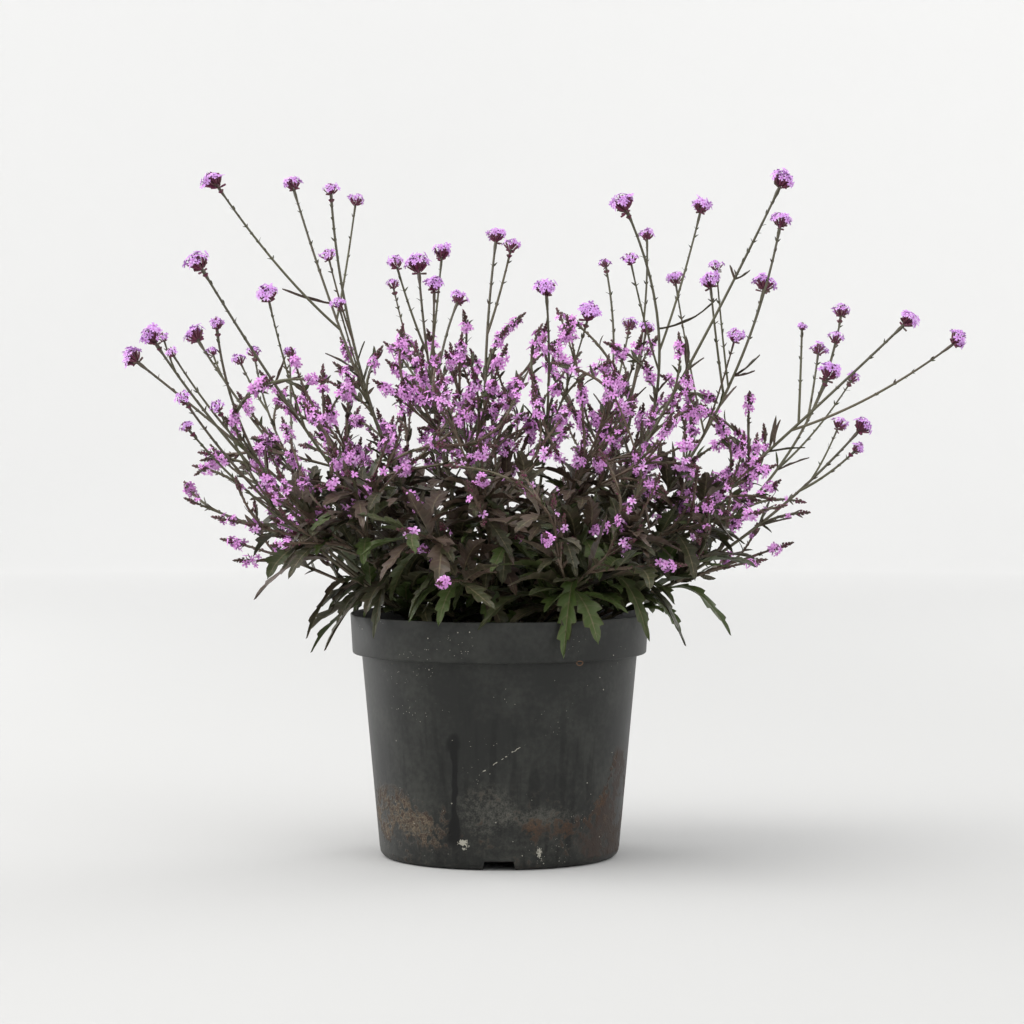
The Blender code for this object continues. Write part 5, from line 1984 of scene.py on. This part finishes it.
    def dress(self, spray: Spray, tall: bool) -> None:
        """Makes the pieces of one spray and of its blooms.

        Args:
            spray: The spray.
            tall: Whether it is one of the tall ones.
        """
        stems, bracts, flowers = [], [], Flowers()
        for number, shoot in enumerate(spray.shoots, 1):
            pairs, nodes = self.bracts(shoot, number == 1)
            bracts.append(pairs)
            tone = self.rng.uniform(0.0, 0.5) if tall else self.rng.uniform(0.4, 1.0)
            stems.append(self.stem(shoot, tone, nodes))
            shape = self.head if shoot.tip is Tip.HEAD else self.spike
            grown = shape.flowers(shoot, self.rng)
            for stamps in grown.florets:
                stamps.places = self.growth.boxed(stamps.places, self.box_margin)
            flowers.calyces += grown.calyces
            flowers.buds += grown.buds
            if shoot.own_bloom:
                bloom = spray.bloom_name(number)
                skins = [stamps.skin(self.head_floret, self.rng) for stamps in grown.florets]
                piece(f"{bloom}_florets", Skin.joined(skins), self.floret_finish,
                      stands_for=(bloom,))
            else:
                flowers.florets += grown.florets
        piece(f"{spray.name}_stems", Skin.joined(stems), self.stem_finish,
              stands_for=(spray.name,))
        blades = [self.leaf_skin(leaf) for leaf in spray.leaves]
        blades += [stamps.skin(self.bract, self.rng) for stamps in bracts if len(stamps.places)]
        piece(f"{spray.name}_leaves", Skin.joined(blades), self.leaf_finish,
              self.blade_sharp)
        cups = [stamps.skin(self.calyx, self.rng) for stamps in flowers.calyces]
        cups += [stamps.skin(self.bud, self.rng) for stamps in flowers.buds]
        piece(f"{spray.name}_calyces", Skin.joined(cups), self.calyx_finish)
        if flowers.florets:
            small = self.head_floret if tall else self.spike_floret
            skins = [stamps.skin(small, self.rng) for stamps in flowers.florets]
            piece(f"{spray.name}_florets", Skin.joined(skins), self.floret_finish)

    def build(self) -> None:
        """Makes the pieces of every spray."""
        for spray in self.growth.sprays:
            self.dress(spray, spray in self.growth.tall)


@dataclass
class Pot:
    """The nursery pot: a thin shell with a stepped collar, rounded lips and drain channels."""

    height: float = 0.155
    rim_radius: float = 0.095
    collar_low_radius: float = 0.0937
    collar_height: float = 0.0255
    body_top_radius: float = 0.0878
    body_low_radius: float = 0.0765
    foot_radius: float = 0.0712
    corner_height: float = 0.0055
    wall: float = 0.0018
    edge: float = 0.0012
    bead: float = 0.0008
    sides: int = 160
    channels: int = 4
    channel_width: float = 0.021
    channel_top_width: float = 0.018
    channel_height: float = 0.006
    channel_inner: float = 0.044
    drain_radius: float = 0.004
    drain_at: float = 0.055
    drain_sides: int = 16
    drain_depth: float = 0.012
    sharp: float = 32
    trim_gap: float = 0.0002

    def arc(self, centre: tuple[float, float], radius: float, first: float, last: float,
            count: int = 5) -> list[tuple[float, float]]:
        """Points of an arc in the profile, between two angles in degrees."""
        angles = np.radians(np.linspace(first, last, count))
        across, up = centre
        return [(across + radius * math.cos(a), up + radius * math.sin(a)) for a in angles]

    def outside(self) -> list[tuple[float, float]]:
        """The outer profile from the foot to the rim, as radius and height."""
        low, lip = self.height - self.collar_height, self.edge
        foot = [(0.0, 0.0005), (self.foot_radius - 0.006, 0.0005), (self.foot_radius - 0.005, 0.0),
                (self.foot_radius, 0.0)]
        corner = [
            (self.foot_radius + (self.body_low_radius - self.foot_radius) * math.sin(turn),
             self.corner_height * (1 - math.cos(turn)))
            for turn in np.linspace(0.3, math.pi / 2, 6)
        ]
        under = [(self.body_top_radius - 0.0001, low - 0.0010),
                 (self.body_top_radius + 0.0006, low - 0.0001)]
        turn_out = self.arc((self.collar_low_radius - lip, low + lip), lip, -90, 0)
        bead = self.bead
        rim = self.arc((self.rim_radius - bead, self.height - bead), bead, 0, 90)
        return foot + corner + under + turn_out + rim

    def inside(self) -> list[tuple[float, float]]:
        """The inner profile from the rim down to the middle of the floor."""
        slope = (self.body_top_radius - self.body_low_radius) / (
            self.height - self.collar_height - self.corner_height)
        ledge = self.height - self.collar_height + self.wall
        return [
            (self.rim_radius - self.wall, self.height - 0.0004),
            (self.rim_radius - self.wall - 0.0002, self.height - 0.002),
            (self.collar_low_radius - self.wall, ledge),
            (self.body_top_radius + slope * self.wall - self.wall, ledge),
            (self.body_low_radius - self.wall, self.wall + self.corner_height),
            (self.foot_radius - self.wall, self.wall),
            (0.0, self.wall),
        ]

    def channel(self, turn: float, grow: float) -> Skin:
        """A drain channel from near the middle out through the wall, grown on all sides."""
        half, top = self.channel_width / 2 + grow, self.channel_top_width / 2 + grow
        out = np.array([math.cos(turn), math.sin(turn), 0.0])
        aside = np.array([-out[1], out[0], 0.0])
        low, high = -0.002, self.channel_height + grow
        section = [(half, low), (top, high), (-top, high), (-half, low)]
        rings = np.array([
            [out * run + aside * across + UP * up for across, up in section]
            for run in (self.channel_inner - grow, self.rim_radius)
        ])
        ends = rings.mean(axis=1)
        return ring_skin(rings, ends[0], ends[1], np.zeros(rings.shape))

    def tool(self, name: str, skins: list[Skin]) -> bpy.types.Object:
        """A hidden object for cutting."""
        made = bpy.data.objects.new(name, Skin.joined(skins).mesh(name, 30))
        bpy.context.scene.collection.objects.link(made)
        made.hide_render = True
        return made

    def build(self) -> None:
        """Makes the pot: the shell, less its channels and drain holes, plus their housings."""
        turns = FULL_TURN * np.arange(self.channels) / self.channels - math.pi / 2
        made = piece("pot_shell", turned(self.outside() + self.inside(), self.sides),
                     PotFinish().material(), self.sharp, ("pot",))
        drains = []
        for turn in turns:
            hole = spindle((0.0, 1.0), (1.0, 1.0), self.drain_sides)
            spot = np.array([math.cos(turn), math.sin(turn), 0.0]) * self.drain_at
            size = np.array([self.drain_radius, self.drain_radius, self.drain_depth])
            hole.points = hole.points * size + spot + UP * self.channel_height / 2
            drains.append(hole)
        cutter = self.tool("channel_tool", [self.channel(turn, 0.0) for turn in turns])
        housing = self.tool("housing_tool", [self.channel(turn, self.wall) for turn in turns])
        foot, body = self.foot_radius - self.trim_gap, self.body_low_radius - 0.001
        trim = self.tool("trim_tool", [turned([
            (0.0, 0.0004), (foot, 0.0004), (foot, 0.001), (body, self.corner_height), (body, 0.02),
            (0.0, 0.02)], self.sides)])
        keep = housing.modifiers.new("inside", "BOOLEAN")
        keep.operation, keep.object = "INTERSECT", trim
        drain = self.tool("drain_tool", drains)
        steps = (("housings", "UNION", housing), ("channels", "DIFFERENCE", cutter),
                 ("drains", "DIFFERENCE", drain))
        for name, operation, tool in steps:
            modifier = made.modifiers.new(name, "BOOLEAN")
            modifier.operation, modifier.object = operation, tool
        graph = bpy.context.evaluated_depsgraph_get()
        cut = bpy.data.meshes.new_from_object(made.evaluated_get(graph))
        made.modifiers.clear()
        made.data = cut
        made.data.shade_smooth()
        made.data.set_sharp_from_angle(angle=math.radians(self.sharp))
        for tool in (cutter, housing, trim, drain):
            bpy.data.objects.remove(tool)


@dataclass
class Soil:
    """The root ball, whose solid stays, and the crumbs that lie on it."""

    radius: float = 0.0895
    edge_height: float = 0.1390
    middle_height: float = 0.1415
    lump: float = 0.0012
    dome_radius: float = 0.0919
    crumbs: int = 1500
    crumb_sizes: tuple[float, float] = (0.0006, 0.0021)
    crumb_sharp: float = 40
    seed: int = 8

    def heights(self, x: np.ndarray, y: np.ndarray) -> np.ndarray:
        """The height of the soil: a low dome with the lumps of crossed sine waves."""
        share = np.hypot(x, y) / self.dome_radius
        dome = self.edge_height + (self.middle_height - self.edge_height) * (1 - share)
        lumps = np.sin(260 * x + 1.3) * np.sin(310 * y + 0.4) + 0.5 * np.sin(600 * (x + y))
        return dome + self.lump * lumps / 1.5

    def build(self, solid: bpy.types.Object) -> None:
        """Dresses the solid and strews the crumbs.

        Args:
            solid: The soil's solid.
        """
        finish = SoilFinish().material()
        for slot in solid.material_slots:
            slot.material = finish
        rng = np.random.default_rng(self.seed)
        out = self.radius * np.sqrt(rng.uniform(0, 1, self.crumbs))
        turn = rng.uniform(0, FULL_TURN, self.crumbs)
        x, y = out * np.cos(turn), out * np.sin(turn)
        sizes = rng.uniform(*self.crumb_sizes, (self.crumbs, 1))
        sizes = sizes * rng.uniform(0.6, 1.5, (self.crumbs, 3))
        places = np.stack([x, y, self.heights(x, y) - sizes[:, 2] * 0.2], axis=1)
        ways = rng.normal(0, 0.5, (self.crumbs, 3)) + UP
        crumb = spindle((-0.5, 0.4), (0.9, 0.75), 5, -0.9, 0.9)
        stamps = Stamps(places, ways, sizes, rng.uniform(0, 1, self.crumbs))
        piece("soil_crumbs", stamps.skin(crumb, rng), finish, self.crumb_sharp)


# The soft lamps: name, place, length of the sides, power in watts and colour
LAMPS = (
    ("key_lamp", (-1.5, -0.7, 2.6), 2.3, 52.0, (1.0, 0.99, 0.97)),
    ("fill_lamp", (1.7, -1.9, 1.5), 1.8, 14.0, (0.98, 0.99, 1.0)),
    ("back_lamp", (1.9, 1.5, 1.3), 1.4, 18.0, (1.0, 1.0, 1.0)),
    ("edge_lamp", (-2.2, 1.3, 0.8), 1.8, 36.0, (1.0, 1.0, 1.0)),
)


@dataclass
class Studio:
    """A pale bowl-shaped backdrop with painted light and shade, soft lamps and the camera."""

    lamp_aim: tuple[float, float, float] = (0.0, 0.0, 0.2)
    eye: tuple[float, float, float] = (0.008, -2.12, 0.296)
    aim: tuple[float, float, float] = (0.008, 0.0, 0.219)
    lens: float = 117.0
    sensor: float = 36.0
    floor_radius: float = 3.4
    wall_bend: float = 1.6
    wall_height: float = 3.2
    thickness: float = 0.05
    sides: int = 96
    # Painted shade and light: the backdrop's colour runs from the darker floor colour near the
    # plant to the paler wall colour far out, against the lamps' falloff.
    floor: Colour = (0.54, 0.54, 0.535)
    wall: Colour = (0.86, 0.86, 0.855)
    # Painted light: the glow is an emission that brightens the backdrop more the higher it stands,
    # up to glow_to.
    painted_glow: Colour = (0.085, 0.085, 0.085)
    most_bounces: int = 3
    diffuse_bounces: int = 2
    glossy_bounces: int = 1
    painted_light_from: float = 0.8
    glow_to: float = 1.1
    sky: Colour = (1.0, 1.0, 1.0)
    sky_strength: float = 0.92

    def backdrop_skin(self) -> Skin:
        """A floor that curves up all round into a wall, and closes below itself.

        The upper side is a disc, a quarter circle and a straight wall, turned about Z.
        """
        bends = np.radians(np.linspace(-90, 0, 13))
        profile = [(0.0, 0.0), (self.floor_radius * 0.3, 0.0), (self.floor_radius, 0.0)]
        profile += [(self.floor_radius + self.wall_bend * math.cos(a),
                     self.wall_bend * (1 + math.sin(a))) for a in bends[1:]]
        profile += [(self.floor_radius + self.wall_bend, self.wall_height)]
        thick = self.thickness
        lower = [(radius + thick, height - thick) for radius, height in profile[1:]]
        return turned([(0.0, -thick), *lower, *profile[::-1]], self.sides)

    def lamp(self, name: str, place: tuple, size: float, power: float, colour: Colour) -> None:
        """A square soft lamp that faces the plant.

        Args:
            name: Its name.
            place: Where it hangs.
            size: The length of its sides.
            power: Its power in watts.
            colour: The colour of its light.
        """
        data = bpy.data.lights.new(name, "AREA")
        data.shape, data.size, data.energy, data.color = "SQUARE", size, power, colour
        lamp = bpy.data.objects.new(name, data)
        lamp.location = place
        lamp.rotation_euler = self.turn_to(place, self.lamp_aim)
        bpy.context.scene.collection.objects.link(lamp)

    def turn_to(self, place: tuple, aim: tuple) -> tuple[float, float, float]:
        """The turn that points a lamp or camera at a spot, as Euler angles."""
        dx, dy, dz = (b - a for a, b in zip(place, aim))
        return (math.atan2(math.hypot(dx, dy), -dz), 0.0, math.atan2(-dx, dy))

    def build(self) -> None:
        """Sets up the backdrop, the light and the camera."""
        scene = bpy.context.scene
        scene.view_settings.view_transform = "Standard"
        scene.cycles.max_bounces = self.most_bounces
        scene.cycles.diffuse_bounces = self.diffuse_bounces
        scene.cycles.glossy_bounces = self.glossy_bounces
        graph = Graph("backdrop_with_painted_light")
        x, y, z = graph.axes()
        # Painted light and shade: the base colour is darker near the plant and paler out towards
        # the wall.
        far = (x * x + y * y) ** 0.5
        far = far.share(self.painted_light_from, self.floor_radius)
        painted_light_ramp = graph.blend(self.floor, self.wall, far * far)
        # Painted light: the backdrop glows, more with height.
        painted_glow = graph.blend((0.0, 0.0, 0.0), self.painted_glow, z.share(0.0, self.glow_to))
        finish = graph.finish(Base_Color=painted_light_ramp, Emission_Color=painted_glow, Emission_Strength=1.0,
                              Roughness=0.95, Specular_IOR_Level=0.1)
        finish.cycles.emission_sampling = "NONE"
        backdrop = bpy.data.objects.new("backdrop", self.backdrop_skin().mesh("backdrop", 30))
        backdrop.data.materials.append(finish)
        scene.collection.objects.link(backdrop)
        backdrop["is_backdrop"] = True
        world = bpy.data.worlds.new("soft_sky")
        world.use_nodes = True
        sky = world.node_tree.nodes["Background"]
        sky.inputs["Color"].default_value = (*self.sky, 1.0)
        sky.inputs["Strength"].default_value = self.sky_strength
        scene.world = world
        for lamp in LAMPS:
            self.lamp(*lamp)
        camera = bpy.data.cameras.new("front_camera")
        camera.lens, camera.sensor_width = self.lens, self.sensor
        view = bpy.data.objects.new("front_camera", camera)
        view.location = self.eye
        view.rotation_euler = self.turn_to(self.eye, self.aim)
        scene.collection.objects.link(view)
        scene.camera = view


def corners(bounds: Iterable) -> list[list[float]]:
    """The corners of a box as plain lists."""
    return [[float(value) for value in corner] for corner in bounds]


def main() -> None:
    """Builds the dressed plant, its pot and its studio, growing the plant within the solids' box,
    which is taken first.
    """
    logging.basicConfig(level=logging.INFO, format="%(message)s")
    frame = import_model()
    cad_box = corners(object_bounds())
    Studio().build()
    log.info("studio: backdrop, lamps and camera")
    Pot().build()
    Soil().build(frame["nodes"]["soil"])
    growth = Growth(cad_box)
    growth.grow_more()
    log.info("growth: %d sprays", len(growth.sprays))
    Foliage(growth).build()
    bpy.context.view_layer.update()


if __name__ == "__main__":
    main()
